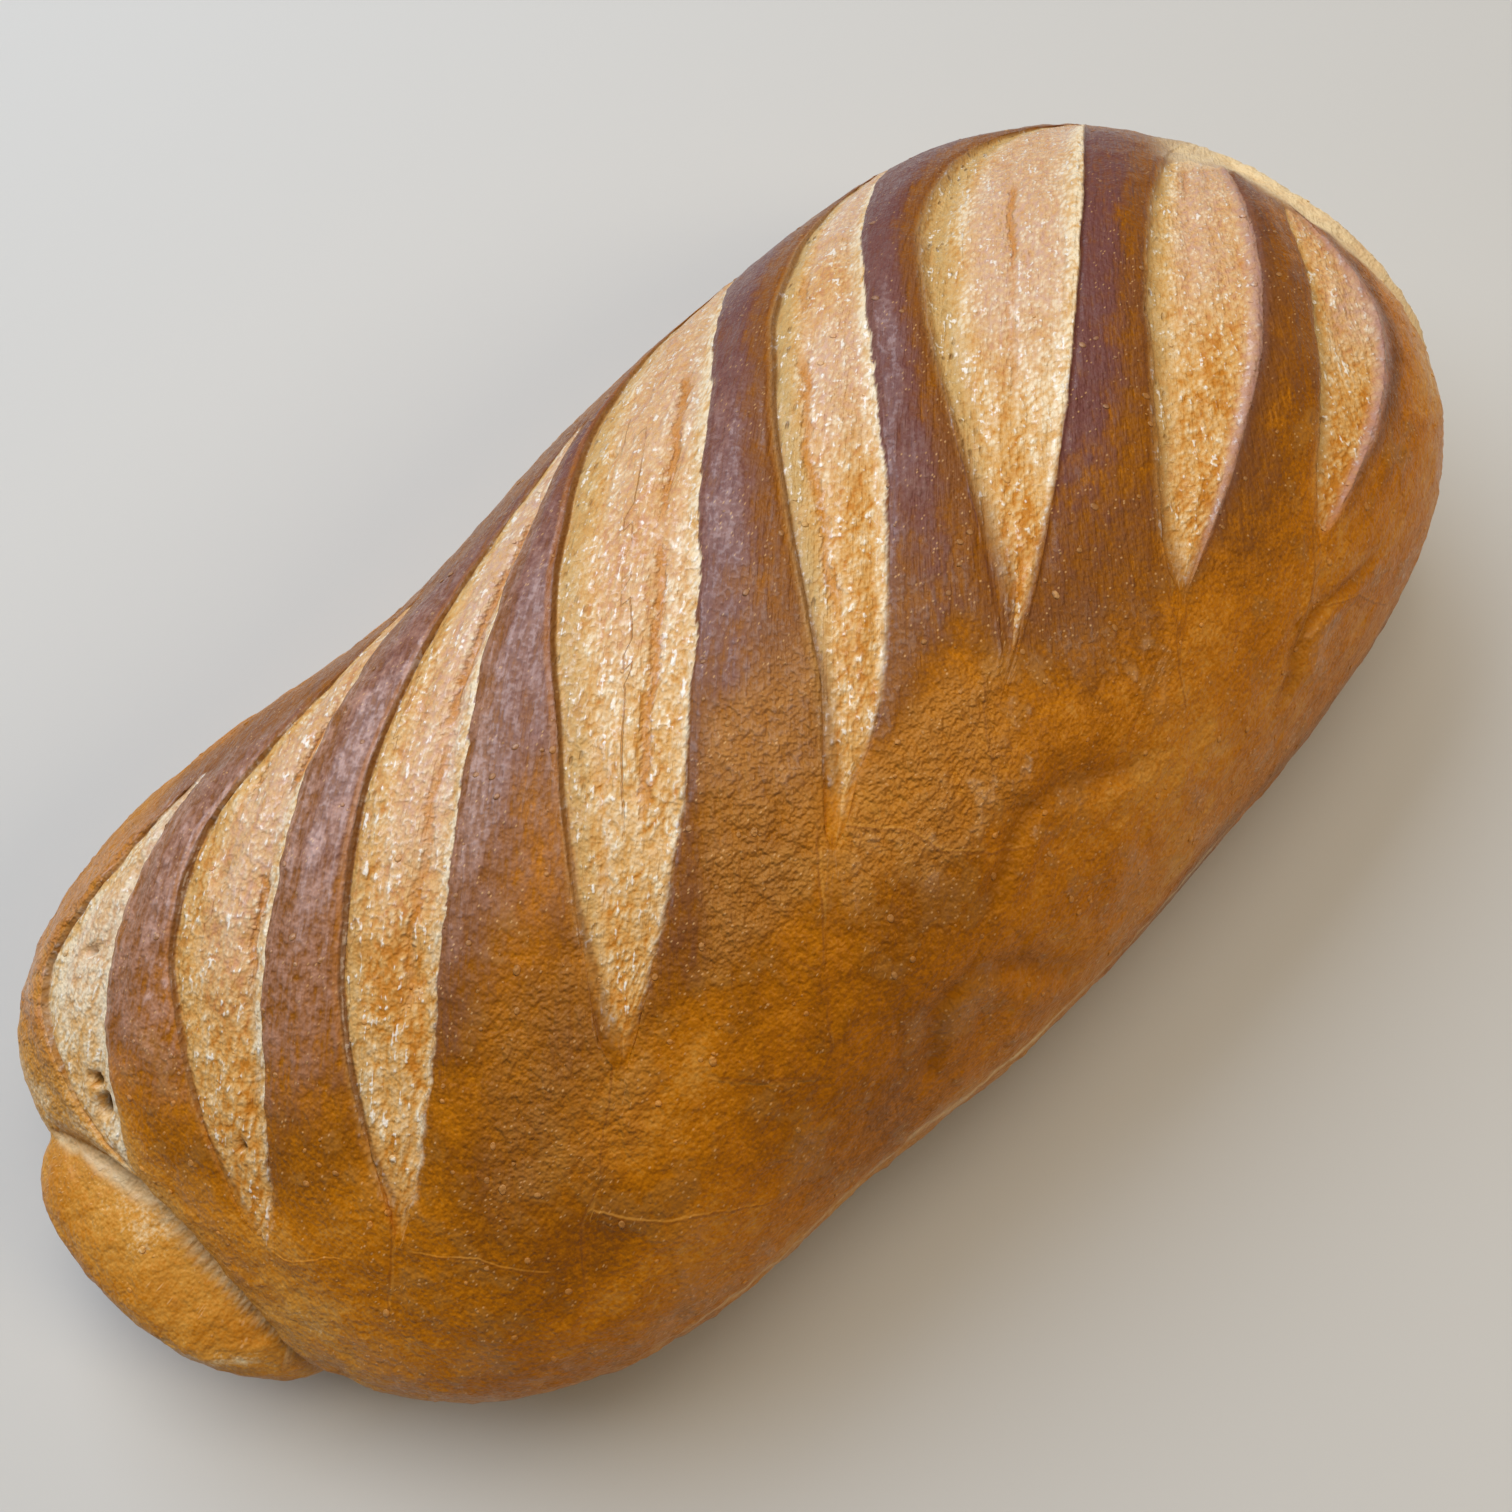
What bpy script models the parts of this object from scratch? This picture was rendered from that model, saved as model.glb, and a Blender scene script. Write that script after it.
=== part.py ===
"""A baked white bloomer: one long loaf with eight slashes that opened in the oven, and a tucked end.

The loaf lies along X on the plane Z = 0. -X is the tapering end with the tucked lobe, +Y is the back,
where most slashes run over the side. Lengths are in metres, angles in degrees.

The skin is a loft of closed rings. Each ring stands in an upright curtain that follows the slashes, so
the slash edges fall on mesh lines. A ring is named by its place along X, where its curtain crosses the
centre plane, and a point on it by its angle: -90 is the front edge, 0 the top, 90 the back edge, and
the underside lies beyond both.
"""

from collections import namedtuple

import bmesh
import bpy
import numpy as np

# The loaf without its slashes.
HALF_LENGTH = 0.162
HALF_WIDTH = 0.0786
HEIGHT = 0.0943
EDGE_HEIGHT = 0.0283  # of the widest line above the board
OUTLINE_POWER = (4.1, 5.0)  # how blunt the plan is at the -X and +X end
OUTLINE_ROUND = (0.30, 0.586)
CREST_POWER = (1.9, 3.3)  # how late the crest falls towards the -X and +X end
CREST_ROUND = (0.59, 0.53)
SECTION_POWER = 2.25  # 2 is an ellipse, more is squarer
BANANA = 0.064  # both ends bend to the back, as a share of the half length
BANANA_LEAN = 0.013
END_SKEW = -0.13  # both ends are cut a little askew
Waist = namedtuple("Waist", "share place spread")
FRONT_WAIST = Waist(0.045, -0.48, 0.18)  # each side is drawn in a little by a share of the half width
BACK_WAIST = Waist(0.135, -0.31, 0.26)
BELLY_DEPTH = 1.45  # over 1: the underside is pressed flat on the board
BELLY_POWER = 5.0  # how far the flat underside reaches into the ends

# The curtains: x = ring + SLASH_SLOPE * y + SLASH_BEND * y * y
SLASH_SLOPE = 1.15
SLASH_BEND = 3.67

# A slash is drawn by its right edge, as rings at its front tip, middle and back end, and by its width.
Slash = namedtuple(
    "Slash", "front_angle back_angle front middle back lean width peak bluntness band lip"
)

# Heights across an open slash: 0 is its left edge and 1 its right edge.
LIFTED_BAND = (
    (0.00, 0.0002),
    (0.06, -0.0024),
    (0.30, -0.0012),
    (0.60, -0.0008),
    (0.88, -0.0016),
    (1.00, -0.0011),
)
RIDGED_BAND = (
    (0.00, -0.0006),
    (0.12, -0.0027),
    (0.38, -0.0018),
    (0.64, -0.0008),
    (0.86, 0.0),
    (0.97, 0.0013),
)
LIFTED_LIP = 0.0010
SOFT_LIP = 0.0002
SLASHES = (
    Slash(-60, 34, -0.1762, -0.1956, -0.1812, 0.002, 0.0294, 0.87, 0.90, LIFTED_BAND, LIFTED_LIP),
    Slash(-52, 40, -0.1356, -0.1426, -0.1290, 0.006, 0.0321, 1.37, 0.45, LIFTED_BAND, LIFTED_LIP),
    Slash(-47, 46, -0.1034, -0.0945, -0.0890, 0.006, 0.0280, 1.00, 0.84, LIFTED_BAND, LIFTED_LIP),
    Slash(-36, 60, -0.0520, -0.0398, -0.0542, 0.009, 0.0375, 1.32, 0.42, LIFTED_BAND, LIFTED_LIP),
    Slash(-32, 64, -0.0044, 0.0038, -0.0019, 0.017, 0.0264, 1.12, 0.53, LIFTED_BAND, LIFTED_LIP),
    Slash(-28, 58, 0.0360, 0.0633, 0.0707, 0.005, 0.0522, 2.20, 0.42, RIDGED_BAND, SOFT_LIP),
    Slash(-31, 52, 0.0832, 0.1174, 0.1144, 0.005, 0.0338, 0.98, 0.64, RIDGED_BAND, SOFT_LIP),
    Slash(-38, 34, 0.1229, 0.1533, 0.1364, 0.006, 0.0221, 0.71, 0.90, RIDGED_BAND, SOFT_LIP),
)
DEPTH_ROUND = 0.6  # how soon the depth fades towards both ends of a slash
LEAST_LINES = 0.28  # mesh lines keep this share of a slash's width beyond its ends
STRIP_EDGE = 0.14  # share of a strip of crust between two slashes, from either edge
STRIP_RIM = 0.0006
STRIP_CROWN = 0.0012
STRIP_LINES = 5
OUTER_SKIN = (0.016, 0.004)  # lines beside the first and the last slash

# The folded end, tucked under at -X.
LOBE_ANCHOR = (-0.105, 0.010)
LOBE_MIDDLE_Y = 0.0085
LOBE_HALF_SPAN = 0.0315
LOBE_REACH = 0.0122
LOBE_TOP = 0.0385
LOBE_TOP_DROP = 9.0  # the crease falls away from its highest point, per metre
LOBE_SHOULDER = 0.0115
LOBE_FOOT = 0.62  # share of the reach left at the board
LOBE_START_X = -0.112
LOBE_FULL_X = -0.142
CREASE_DEPTH = 0.0042
CREASE_WIDTH = 0.0036

# Shallow dents in the front side.
Dent = namedtuple("Dent", "ring angle along across depth")
DENTS = (
    Dent(0.022, -66, 0.012, 0.020, 0.0022),
    Dent(0.050, -48, 0.010, 0.018, 0.0014),
    Dent(-0.063, -55, 0.016, 0.009, 0.0012),
)

# The fold round the back of the +X end, where the slashed skin meets the plain belly.
FOLD_ANGLE = 46  # as far as FOLD_TURN_RING, and falling from there
FOLD_TURN_RING = 0.123
FOLD_FALL = 580  # degrees per metre of ring
FOLD_START_RINGS = (0.088, 0.108)  # it grows out of the plain skin here
FOLD_LIFT = 0.0014
FOLD_CREASE = 0.0009
FOLD_SPREAD = 0.0040  # half the width of the fold, and of its crease

# The mesh.
TABLE_RINGS = 900
TABLE_STEPS = 500
BISECTIONS = 32
END_RINGS = 6
TOP_STEPS = 46
UNDER_ANGLES = (97, 106, 118, 132, 150, 170, 190, 210, 228, 242, 254, 263)

CRUST_COLOUR = (0.42, 0.18, 0.06, 1.0)
CRUST_ROUGHNESS = 0.38


def clear_scene():
    for old in list(bpy.data.objects):
        bpy.data.objects.remove(old, do_unlink=True)


def by_side(u, pair):
    """The -X or the +X value of a pair, by the sign of u."""
    return np.where(u < 0, pair[0], pair[1])


def along(x, y):
    """Place along the loaf, -1 to 1."""
    return (x - END_SKEW * y) / HALF_LENGTH


def waisted(u, waist):
    return 1 - waist.share * np.exp(-(((u - waist.place) / waist.spread) ** 2))


def section(x, y):
    """Half width on the point's own side, distance from the centre line and share of the crest's height."""
    u = along(x, y)
    reach = np.minimum(1.0, np.abs(u))
    width = HALF_WIDTH * (1 - reach ** by_side(u, OUTLINE_POWER)) ** by_side(u, OUTLINE_ROUND)
    crest = (1 - reach ** by_side(u, CREST_POWER)) ** by_side(u, CREST_ROUND)
    aside = y - HALF_LENGTH * (BANANA * u**2 + BANANA_LEAN * u**3)
    width *= np.where(aside < 0, waisted(u, FRONT_WAIST), waisted(u, BACK_WAIST))
    return width, np.abs(aside), crest


def margin(x, y):
    """How far inside the widest outline a point of the plan lies. It is negative outside."""
    width, aside, _ = section(x, y)
    past_end = np.maximum(0.0, np.abs(along(x, y)) - 1) * HALF_LENGTH
    return width - aside - past_end


def curtain_x(ring, y):
    return ring + SLASH_SLOPE * y + SLASH_BEND * y**2


def chord_ends(rings):
    """The y of the front and back edge of each ring. It is nan where the curtain misses the loaf."""
    y = np.linspace(-1.3 * HALF_WIDTH, 1.3 * HALF_WIDTH, TABLE_STEPS)
    inside = margin(curtain_x(rings[:, None], y[None]), y[None]) > 0
    hit = inside.any(axis=1)
    first = inside.argmax(axis=1)
    last = len(y) - 1 - inside[:, ::-1].argmax(axis=1)
    ends = []
    for index, step in ((first, -1), (last, 1)):
        within = y[index]
        beyond = y[np.clip(index + step, 0, len(y) - 1)]
        for _ in range(BISECTIONS):
            middle = (within + beyond) / 2
            good = margin(curtain_x(rings, middle), middle) > 0
            within = np.where(good, middle, within)
            beyond = np.where(good, beyond, middle)
        ends.append(np.where(hit, within, np.nan))
    return ends


def outermost_ring(missed, hit):
    """The last ring that still meets the loaf, between one that misses it and one that doesn't."""
    for _ in range(BISECTIONS):
        middle = (missed + hit) / 2
        front, _ = chord_ends(np.array([middle]))
        if np.isnan(front[0]):
            missed = middle
        else:
            hit = middle
    return hit


class Chords:
    """A table of ring middles and half chords, from one pole of the loft to the other."""

    def __init__(self):
        self.first = outermost_ring(-2 * HALF_LENGTH, 0.0)
        self.last = outermost_ring(2 * HALF_LENGTH, 0.0)
        turn = np.linspace(0.0, np.pi, TABLE_RINGS)
        centre = (self.first + self.last) / 2
        self.rings = centre - (self.last - self.first) / 2 * np.cos(turn)
        self.rings[0] = self.first
        self.rings[-1] = self.last
        front, back = chord_ends(self.rings)
        self.middle = (front + back) / 2
        self.half = (back - front) / 2

    def y(self, ring, angle):
        middle = np.interp(ring, self.rings, self.middle)
        half = np.interp(ring, self.rings, self.half)
        return middle + half * np.sin(np.radians(angle))


def skin(chords, ring, angle):
    """Points of the loaf without its slashes."""
    y = chords.y(ring, angle)
    x = curtain_x(ring, y)
    width, aside, crest = section(x, y)
    across = np.minimum(1.0, aside / np.maximum(width, 1e-9))
    bow = (1 - across**SECTION_POWER) ** (1 / SECTION_POWER)
    top = EDGE_HEIGHT + (HEIGHT - EDGE_HEIGHT) * crest * bow
    belly = np.sqrt(1 - np.minimum(1.0, np.abs(along(x, y))) ** BELLY_POWER)
    under = EDGE_HEIGHT * np.maximum(0.0, 1 - BELLY_DEPTH * belly * bow)
    z = np.where(np.abs(angle) <= 90, top, under)
    return np.stack([x, y, z], axis=-1)


def top_angle(angle):
    """The angle straight above a point, so that the underside shares the top's mesh lines."""
    return np.degrees(np.arcsin(np.clip(np.sin(np.radians(angle)), -1, 1)))


def slash_span(slash, angle):
    """Right edge, full width and depth share of a slash at each angle."""
    share = np.clip((angle - slash.front_angle) / (slash.back_angle - slash.front_angle), 0, 1)
    bow = slash.middle - (slash.front + slash.back) / 2
    straight = slash.front + (slash.back - slash.front) * share
    right = straight + share * (1 - share) * (4 * bow + 6 * slash.lean * (1 - 2 * share))
    opened = np.maximum(0.0, np.sin(np.pi * share**slash.peak))
    return right, slash.width * opened**slash.bluntness, opened**DEPTH_ROUND


def slash_lines(angle):
    """Mesh lines along the slashes, as rings at each angle, with their heights over the plain skin."""
    rings = []
    heights = []
    earlier = None
    for slash in SLASHES:
        right, width, depth = slash_span(slash, angle)
        width = np.maximum(width, LEAST_LINES * slash.width)
        left = right - width
        if earlier is None:
            rings += [left - gap for gap in OUTER_SKIN]
            heights += [0 * left, slash.lip * depth]
        else:
            strip = left - earlier[0]
            rim = STRIP_RIM * earlier[1]
            crown = STRIP_CROWN * np.minimum(depth, earlier[1])
            lip = slash.lip * depth
            for share in np.linspace(STRIP_EDGE, 1 - STRIP_EDGE, STRIP_LINES):
                rings.append(earlier[0] + share * strip)
            heights += [rim, (rim + crown) / 2, crown, (crown + lip) / 2, lip]
        for place, height in slash.band:
            rings.append(left + place * width)
            heights.append(height * depth)
        earlier = (right, depth)
    rings += [earlier[0] + gap for gap in OUTER_SKIN[::-1]]
    heights += [STRIP_RIM * earlier[1], 0 * earlier[0]]
    return np.array(rings), np.array(heights)


def ring_lines(chords, angle):
    """Rows of mesh lines from pole to pole, as rings at each angle, with their heights."""
    rings, heights = slash_lines(angle)
    ease = (np.arange(1, END_RINGS) / END_RINGS)[:, None] ** 2
    first = chords.first + (rings[0] - chords.first) * ease
    last = chords.last - (chords.last - rings[-1]) * ease[::-1]
    flat = np.zeros((END_RINGS - 1, len(angle)))
    return np.concatenate([first, rings, last]), np.concatenate([flat, heights, flat])


def dent_relief(ring, angle):
    height = np.zeros_like(ring)
    for dent in DENTS:
        aside = (ring - dent.ring) / dent.across
        down = np.radians(angle - dent.angle) * HALF_WIDTH / dent.along
        height -= dent.depth * np.exp(-(aside**2) - down**2)
    return height


def smooth_step(share):
    share = np.clip(share, 0, 1)
    return share * share * (3 - 2 * share)


def fold_relief(ring, angle):
    """A rounded fold with a crease along its upper side."""
    fold_angle = FOLD_ANGLE - FOLD_FALL * np.maximum(0.0, ring - FOLD_TURN_RING)
    below = np.radians(angle - fold_angle) * HALF_WIDTH / FOLD_SPREAD
    start, full = FOLD_START_RINGS
    grown = smooth_step((ring - start) / (full - start))
    return grown * (FOLD_LIFT * np.exp(-((below - 1) ** 2)) - FOLD_CREASE * np.exp(-((below + 1) ** 2)))


def tuck_end(points):
    """Pushes the lower -X end out into the folded lobe, below a crease."""
    x, y, z = points.T
    side = (y - LOBE_MIDDLE_Y) / LOBE_HALF_SPAN
    span = np.sqrt(np.maximum(0.0, 1 - side**2))
    crease = LOBE_TOP - LOBE_TOP_DROP * (y - LOBE_MIDDLE_Y - 0.2 * LOBE_HALF_SPAN) ** 2
    below = crease - z
    rise = np.clip(below / LOBE_SHOULDER, 0, 1)
    foot = LOBE_FOOT + (1 - LOBE_FOOT) * np.clip(z / (LOBE_TOP - LOBE_SHOULDER), 0, 1) ** 0.5
    push = LOBE_REACH * np.sqrt(1 - (1 - rise) ** 2) * foot
    push -= CREASE_DEPTH * np.exp(-((below / CREASE_WIDTH) ** 2))
    start = (LOBE_START_X - x) / (LOBE_START_X - LOBE_FULL_X)
    push *= span * smooth_step(start)
    away = np.stack([x - LOBE_ANCHOR[0], y - LOBE_ANCHOR[1]])
    away /= np.maximum(1e-9, np.hypot(*away))
    points[:, 0] += push * away[0]
    points[:, 1] += push * away[1]


def loft(rows, start_point, end_point):
    """A closed bmesh through rows of points, shut with a fan at either pole."""
    skin_mesh = bmesh.new()
    rings = [[skin_mesh.verts.new(point) for point in row] for row in rows]
    around = len(rings[0])
    for near, far in zip(rings, rings[1:]):
        for step in range(around):
            after = (step + 1) % around
            skin_mesh.faces.new((near[step], far[step], far[after], near[after]))
    for ring, point, turn in ((rings[0], start_point, 1), (rings[-1], end_point, -1)):
        pole = skin_mesh.verts.new(point)
        for step in range(around):
            after = (step + 1) % around
            skin_mesh.faces.new((pole, ring[step], ring[after])[::turn])
    skin_mesh.normal_update()
    return skin_mesh


def crust_material():
    material = bpy.data.materials.new("baked_crust")
    material.use_nodes = True
    shader = material.node_tree.nodes["Principled BSDF"]
    shader.inputs["Base Color"].default_value = CRUST_COLOUR
    shader.inputs["Roughness"].default_value = CRUST_ROUGHNESS
    shader.inputs["Metallic"].default_value = 0.0
    return material


def make_loaf():
    chords = Chords()
    top = np.linspace(-90, 90, TOP_STEPS + 1)
    angle = np.concatenate([top, UNDER_ANGLES])
    rings, relief = ring_lines(chords, top_angle(angle))
    turned = np.broadcast_to(angle, rings.shape)
    rows = skin(chords, rings, turned)
    poles = skin(chords, np.array([chords.first, chords.last]), np.zeros(2))
    mesh = loft(rows, *poles)

    relief = relief + dent_relief(rings, turned) + fold_relief(rings, turned)
    relief = np.where(np.abs(turned) > 90, 0.0, relief)
    relief = np.concatenate([relief.ravel(), np.zeros(2)])
    points = np.array([vert.co + vert.normal * lift for vert, lift in zip(mesh.verts, relief)])
    tuck_end(points)
    low, high = points.min(axis=0), points.max(axis=0)
    points -= ((low[0] + high[0]) / 2, (low[1] + high[1]) / 2, low[2])
    for vert, point in zip(mesh.verts, points):
        vert.co = point
    bmesh.ops.recalc_face_normals(mesh, faces=mesh.faces)

    data = bpy.data.meshes.new("loaf")
    mesh.to_mesh(data)
    mesh.free()
    data.shade_smooth()
    data.materials.append(crust_material())
    loaf = bpy.data.objects.new("loaf", data)
    bpy.context.scene.collection.objects.link(loaf)
    return loaf


clear_scene()
make_loaf()
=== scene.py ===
"""A baked bloomer: the crust, the open slashes and the fine surface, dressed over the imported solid.

Lengths are in metres and angles in degrees. The loaf lies along X on Z = 0, with the tucked end at -X and
its back at +Y. A point of the skin is named by its ring, which is the place along X where an upright
curtain through it crosses the centre plane, and by its angle: -90 is the front edge, 0 the top and 90 the
back edge. The curtains follow the slashes.
"""

import math
from collections import namedtuple
from functools import cache

import bpy
import numpy as np
from mathutils import Matrix, Vector


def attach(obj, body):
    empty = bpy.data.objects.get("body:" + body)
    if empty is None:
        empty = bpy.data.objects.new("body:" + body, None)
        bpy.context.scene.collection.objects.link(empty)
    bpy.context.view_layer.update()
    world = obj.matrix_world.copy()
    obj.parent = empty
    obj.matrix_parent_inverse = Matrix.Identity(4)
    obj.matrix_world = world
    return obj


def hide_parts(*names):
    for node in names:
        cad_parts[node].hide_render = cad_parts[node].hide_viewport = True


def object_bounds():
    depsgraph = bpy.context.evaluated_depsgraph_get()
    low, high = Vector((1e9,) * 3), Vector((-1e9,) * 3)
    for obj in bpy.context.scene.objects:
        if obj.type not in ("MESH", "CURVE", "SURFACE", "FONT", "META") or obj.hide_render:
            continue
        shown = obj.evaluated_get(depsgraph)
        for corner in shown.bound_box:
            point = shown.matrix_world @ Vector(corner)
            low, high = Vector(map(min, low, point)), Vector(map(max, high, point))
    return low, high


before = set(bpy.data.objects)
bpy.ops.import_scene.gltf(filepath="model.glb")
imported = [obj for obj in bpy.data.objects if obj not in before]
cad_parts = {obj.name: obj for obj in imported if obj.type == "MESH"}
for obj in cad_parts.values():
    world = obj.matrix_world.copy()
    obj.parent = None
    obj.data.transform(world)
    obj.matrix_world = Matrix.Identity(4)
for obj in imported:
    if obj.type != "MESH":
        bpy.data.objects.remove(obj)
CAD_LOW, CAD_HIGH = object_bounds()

bl_info = {
    "name": "Bloomer loaf",
    "version": (1, 0, 0),
    "blender": (4, 5, 0),
    "location": "3D View > Sidebar > Bloomer",
    "description": "Makes the crust of a slashed bloomer loaf, its blisters and a plain stage",
    "category": "Object",
}

# ---------------------------------------------------------------------------------------------------------
# The form of the loaf, by the same named sizes as the solid.

HALF_LENGTH = 0.162
HALF_WIDTH = 0.0786
HEIGHT = 0.0943
EDGE_HEIGHT = 0.0283
OUTLINE_POWER = (4.1, 5.0)
OUTLINE_ROUND = (0.30, 0.586)
CREST_POWER = (1.9, 3.3)
CREST_ROUND = (0.59, 0.53)
SECTION_POWER = 2.25
BANANA = 0.064
BANANA_LEAN = 0.013
END_SKEW = -0.13
Waist = namedtuple("Waist", "share place spread")
FRONT_WAIST = Waist(0.045, -0.48, 0.18)
BACK_WAIST = Waist(0.135, -0.31, 0.26)
BELLY_DEPTH = 1.45
BELLY_POWER = 5.0
SLASH_SLOPE = 1.15
SLASH_BEND = 3.67

Slash = namedtuple(
    "Slash", "front_angle back_angle front middle back lean width peak bluntness ridged"
)
SLASHES = (
    Slash(-60, 34, -0.1762, -0.1956, -0.1812, 0.002, 0.0294, 0.87, 0.90, False),
    Slash(-52, 40, -0.1356, -0.1426, -0.1290, 0.006, 0.0321, 1.37, 0.45, False),
    Slash(-47, 46, -0.1034, -0.0945, -0.0890, 0.006, 0.0280, 1.00, 0.84, False),
    Slash(-36, 60, -0.0520, -0.0398, -0.0542, 0.009, 0.0375, 1.32, 0.42, False),
    Slash(-32, 64, -0.0044, 0.0038, -0.0019, 0.017, 0.0264, 1.12, 0.53, False),
    Slash(-28, 58, 0.0360, 0.0633, 0.0707, 0.005, 0.0522, 2.20, 0.42, True),
    Slash(-31, 52, 0.0832, 0.1174, 0.1144, 0.005, 0.0338, 0.98, 0.64, True),
    Slash(-38, 34, 0.1229, 0.1533, 0.1364, 0.006, 0.0221, 0.71, 0.90, True),
)
DEPTH_ROUND = 0.6

# How each slash looks: the darkness of the painted shade in the gap under its left lip, the widths over
# which its edges blend into the crust, in metres, how notched its right edge is, how olive its left groove
# is and how brown the crest along its right edge is, with the strength of the painted shade behind that
# crest.
Finish = namedtuple("Finish", "gap soft_left soft_right notched olive crest")
FINISHES = (
    Finish(0.6, 0.0010, 0.0003, 0.7, 0.2, 0.0),
    Finish(1.0, 0.0003, 0.0002, 1.0, 0.3, 0.0),
    Finish(1.0, 0.0003, 0.0002, 1.0, 0.5, 0.0),
    Finish(1.0, 0.0003, 0.0002, 0.8, 0.7, 0.0),
    Finish(0.6, 0.0012, 0.0002, 0.6, 1.0, 0.0),
    Finish(0.2, 0.0016, 0.0004, 0.5, 0.9, 0.0),
    Finish(0.2, 0.0012, 0.0013, 0.3, 0.8, 1.0),
    Finish(0.2, 0.0006, 0.0013, 0.3, 1.0, 1.0),
)
TIP_BLEND = 0.0022  # more blending towards the front tips
TIP_SHARES = (0.02, 0.40)

# Heights across an open slash, from its left edge at 0 to its right edge at 1.
LIFTED_BAND = (
    (0.00, 0.0000),
    (0.016, -0.0009),
    (0.034, -0.0010),
    (0.075, -0.0007),
    (0.20, -0.0008),
    (0.36, -0.0009),
    (0.60, -0.0007),
    (0.88, -0.0015),
    (1.00, -0.0011),
)
RIDGED_BAND = (
    (0.00, -0.0006),
    (0.06, -0.0022),
    (0.12, -0.0024),
    (0.38, -0.0016),
    (0.64, -0.0008),
    (0.86, 0.0000),
    (0.96, 0.0013),
    (1.00, 0.0012),
)
LIFTED_LIP = 0.0005
SOFT_LIP = 0.0002
STRIP_STEP = 0.03  # share of a strip in which its cut edge rises
STRIP_EDGE = 0.14
STRIP_RIM = 0.0006
STRIP_CROWN = 0.0012
FIRST_SKIN = 0.030  # the skin that rises to the first slash, and the skin that falls from the last
LAST_SKIN = 0.020

# The folded end, tucked under at -X.
LOBE_ANCHOR = (-0.105, 0.010)
LOBE_MIDDLE_Y = 0.0085
LOBE_HALF_SPAN = 0.0315
LOBE_SIDES = (0.0, 0.35)
LOBE_REACH = 0.0122
LOBE_TOP = 0.0385
LOBE_TOP_DROP = 9.0
LOBE_SHOULDER = 0.0115
LOBE_FOOT = 0.62
LOBE_START_X = -0.112
LOBE_FULL_X = -0.142
CREASE_DEPTH = 0.0042
CREASE_WIDTH = 0.0036
CREASE_SHADE = (-0.0008, 0.0009)  # place below the crease and half width of the painted shade in it
LOBE_BORDER = (-0.001, 0.004)  # below the crease, where the skin takes the lobe's bake

# The fold round the back of the +X end.
FOLD_ANGLE = 46
FOLD_TURN_RING = 0.123
FOLD_FALL = 580
FOLD_START_RINGS = (0.088, 0.108)
FOLD_LIFT = 0.0012
FOLD_CREASE = 0.0003
FOLD_SPREAD = 0.0040
FOLD_PALE = (-3.4, -1.2, 1.0, 2.6)  # in spreads from the fold's line
FOLD_PLAIN = (-3.2, -1.0)
FOLD_COVER = 0.008  # how far the plain skin reaches over the slashes there

# Shallow dents, and the places that only a close look shows. A groove runs along an open slash.
Dent = namedtuple("Dent", "ring angle along across depth")
DENTS = (
    Dent(0.022, -66, 0.012, 0.020, 0.0022),
    Dent(0.050, -48, 0.010, 0.018, 0.0014),
    Dent(-0.063, -55, 0.016, 0.009, 0.0012),
)
Groove = namedtuple("Groove", "slash angles places depth width")
GROOVES = (
    Groove(1, (-34, 32), (0.88, 0.84), 0.0012, 0.0013),
    Groove(2, (-24, 36), (0.66, 0.84), 0.0013, 0.0012),
    Groove(3, (-20, 40), (0.66, 0.78), 0.0012, 0.0014),
    Groove(3, (-26, 30), (0.30, 0.27), 0.0005, 0.0008),
    Groove(4, (-16, 44), (0.28, 0.34), 0.0007, 0.0010),
    Groove(5, (-2, 40), (0.52, 0.60), 0.0008, 0.0016),
    Groove(6, (0, 40), (0.42, 0.40), 0.0006, 0.0014),
)
DEEPEST_GROOVE = 0.0013
GROOVE_SHARES = (0.0, 0.15, 0.85, 1.0)
Bend = namedtuple("Bend", "height step seed")
GROOVE_BENDS = (Bend(0.0011, 0.006, 60), Bend(0.0005, 0.0022, 70))
Pit = namedtuple("Pit", "ring angle across along depth")
PIT_POWER = 1.5
DARK_DEPTH = 0.003
PITS = (
    Pit(-0.1965, -37.0, 0.0013, 0.0022, 0.0034),
    Pit(-0.1930, -42.5, 0.0014, 0.0038, 0.0044),
    Pit(-0.1450, -35.0, 0.0009, 0.0012, 0.0022),
    Pit(-0.2070, -6.0, 0.0012, 0.0020, 0.0016),
    Pit(-0.1620, 6.0, 0.0007, 0.0026, 0.0018),
    Pit(-0.1590, 22.0, 0.0010, 0.0022, 0.0016),
    Pit(-0.0720, 30.0, 0.0006, 0.0022, 0.0016),
    Pit(-0.0690, 38.0, 0.0006, 0.0018, 0.0014),
)

# Hairlines in the skin, as (ring in millimetres, angle) points, and folds whose upper side is a valley.
HAIRLINES = (
    ((-54.5, -34), (-56.5, -40), (-60.1, -47), (-64.2, -51), (-65.5, -61)),
    ((-105.0, -44), (-106.5, -50), (-107.6, -56)),
    ((-137.5, -48), (-136.0, -51), (-133.0, -52), (-120.0, -49)),
    ((-8.0, -30), (-8.2, -38), (-9.9, -44), (-14.4, -41)),
    ((-9.3, -48), (-10.3, -55), (-14.0, -55), (-33.4, -45)),
    ((-1.0, -31), (4.0, -33), (10.6, -35), (18.0, -40), (26.4, -43), (35.5, -46)),
    ((31.5, -26), (31.3, -32), (31.5, -35)),
    ((79.0, -28), (78.9, -34), (79.2, -45)),
    ((120.2, -36), (119.5, -43), (113.4, -52)),
    ((-62.0, -50), (-52.0, -55), (-40.0, -60), (-28.0, -66)),
    ((124.0, -51), (133.0, -54), (146.0, -66)),
    ((-100.0, -48), (-88.0, -50), (-74.0, -55)),
)
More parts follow.
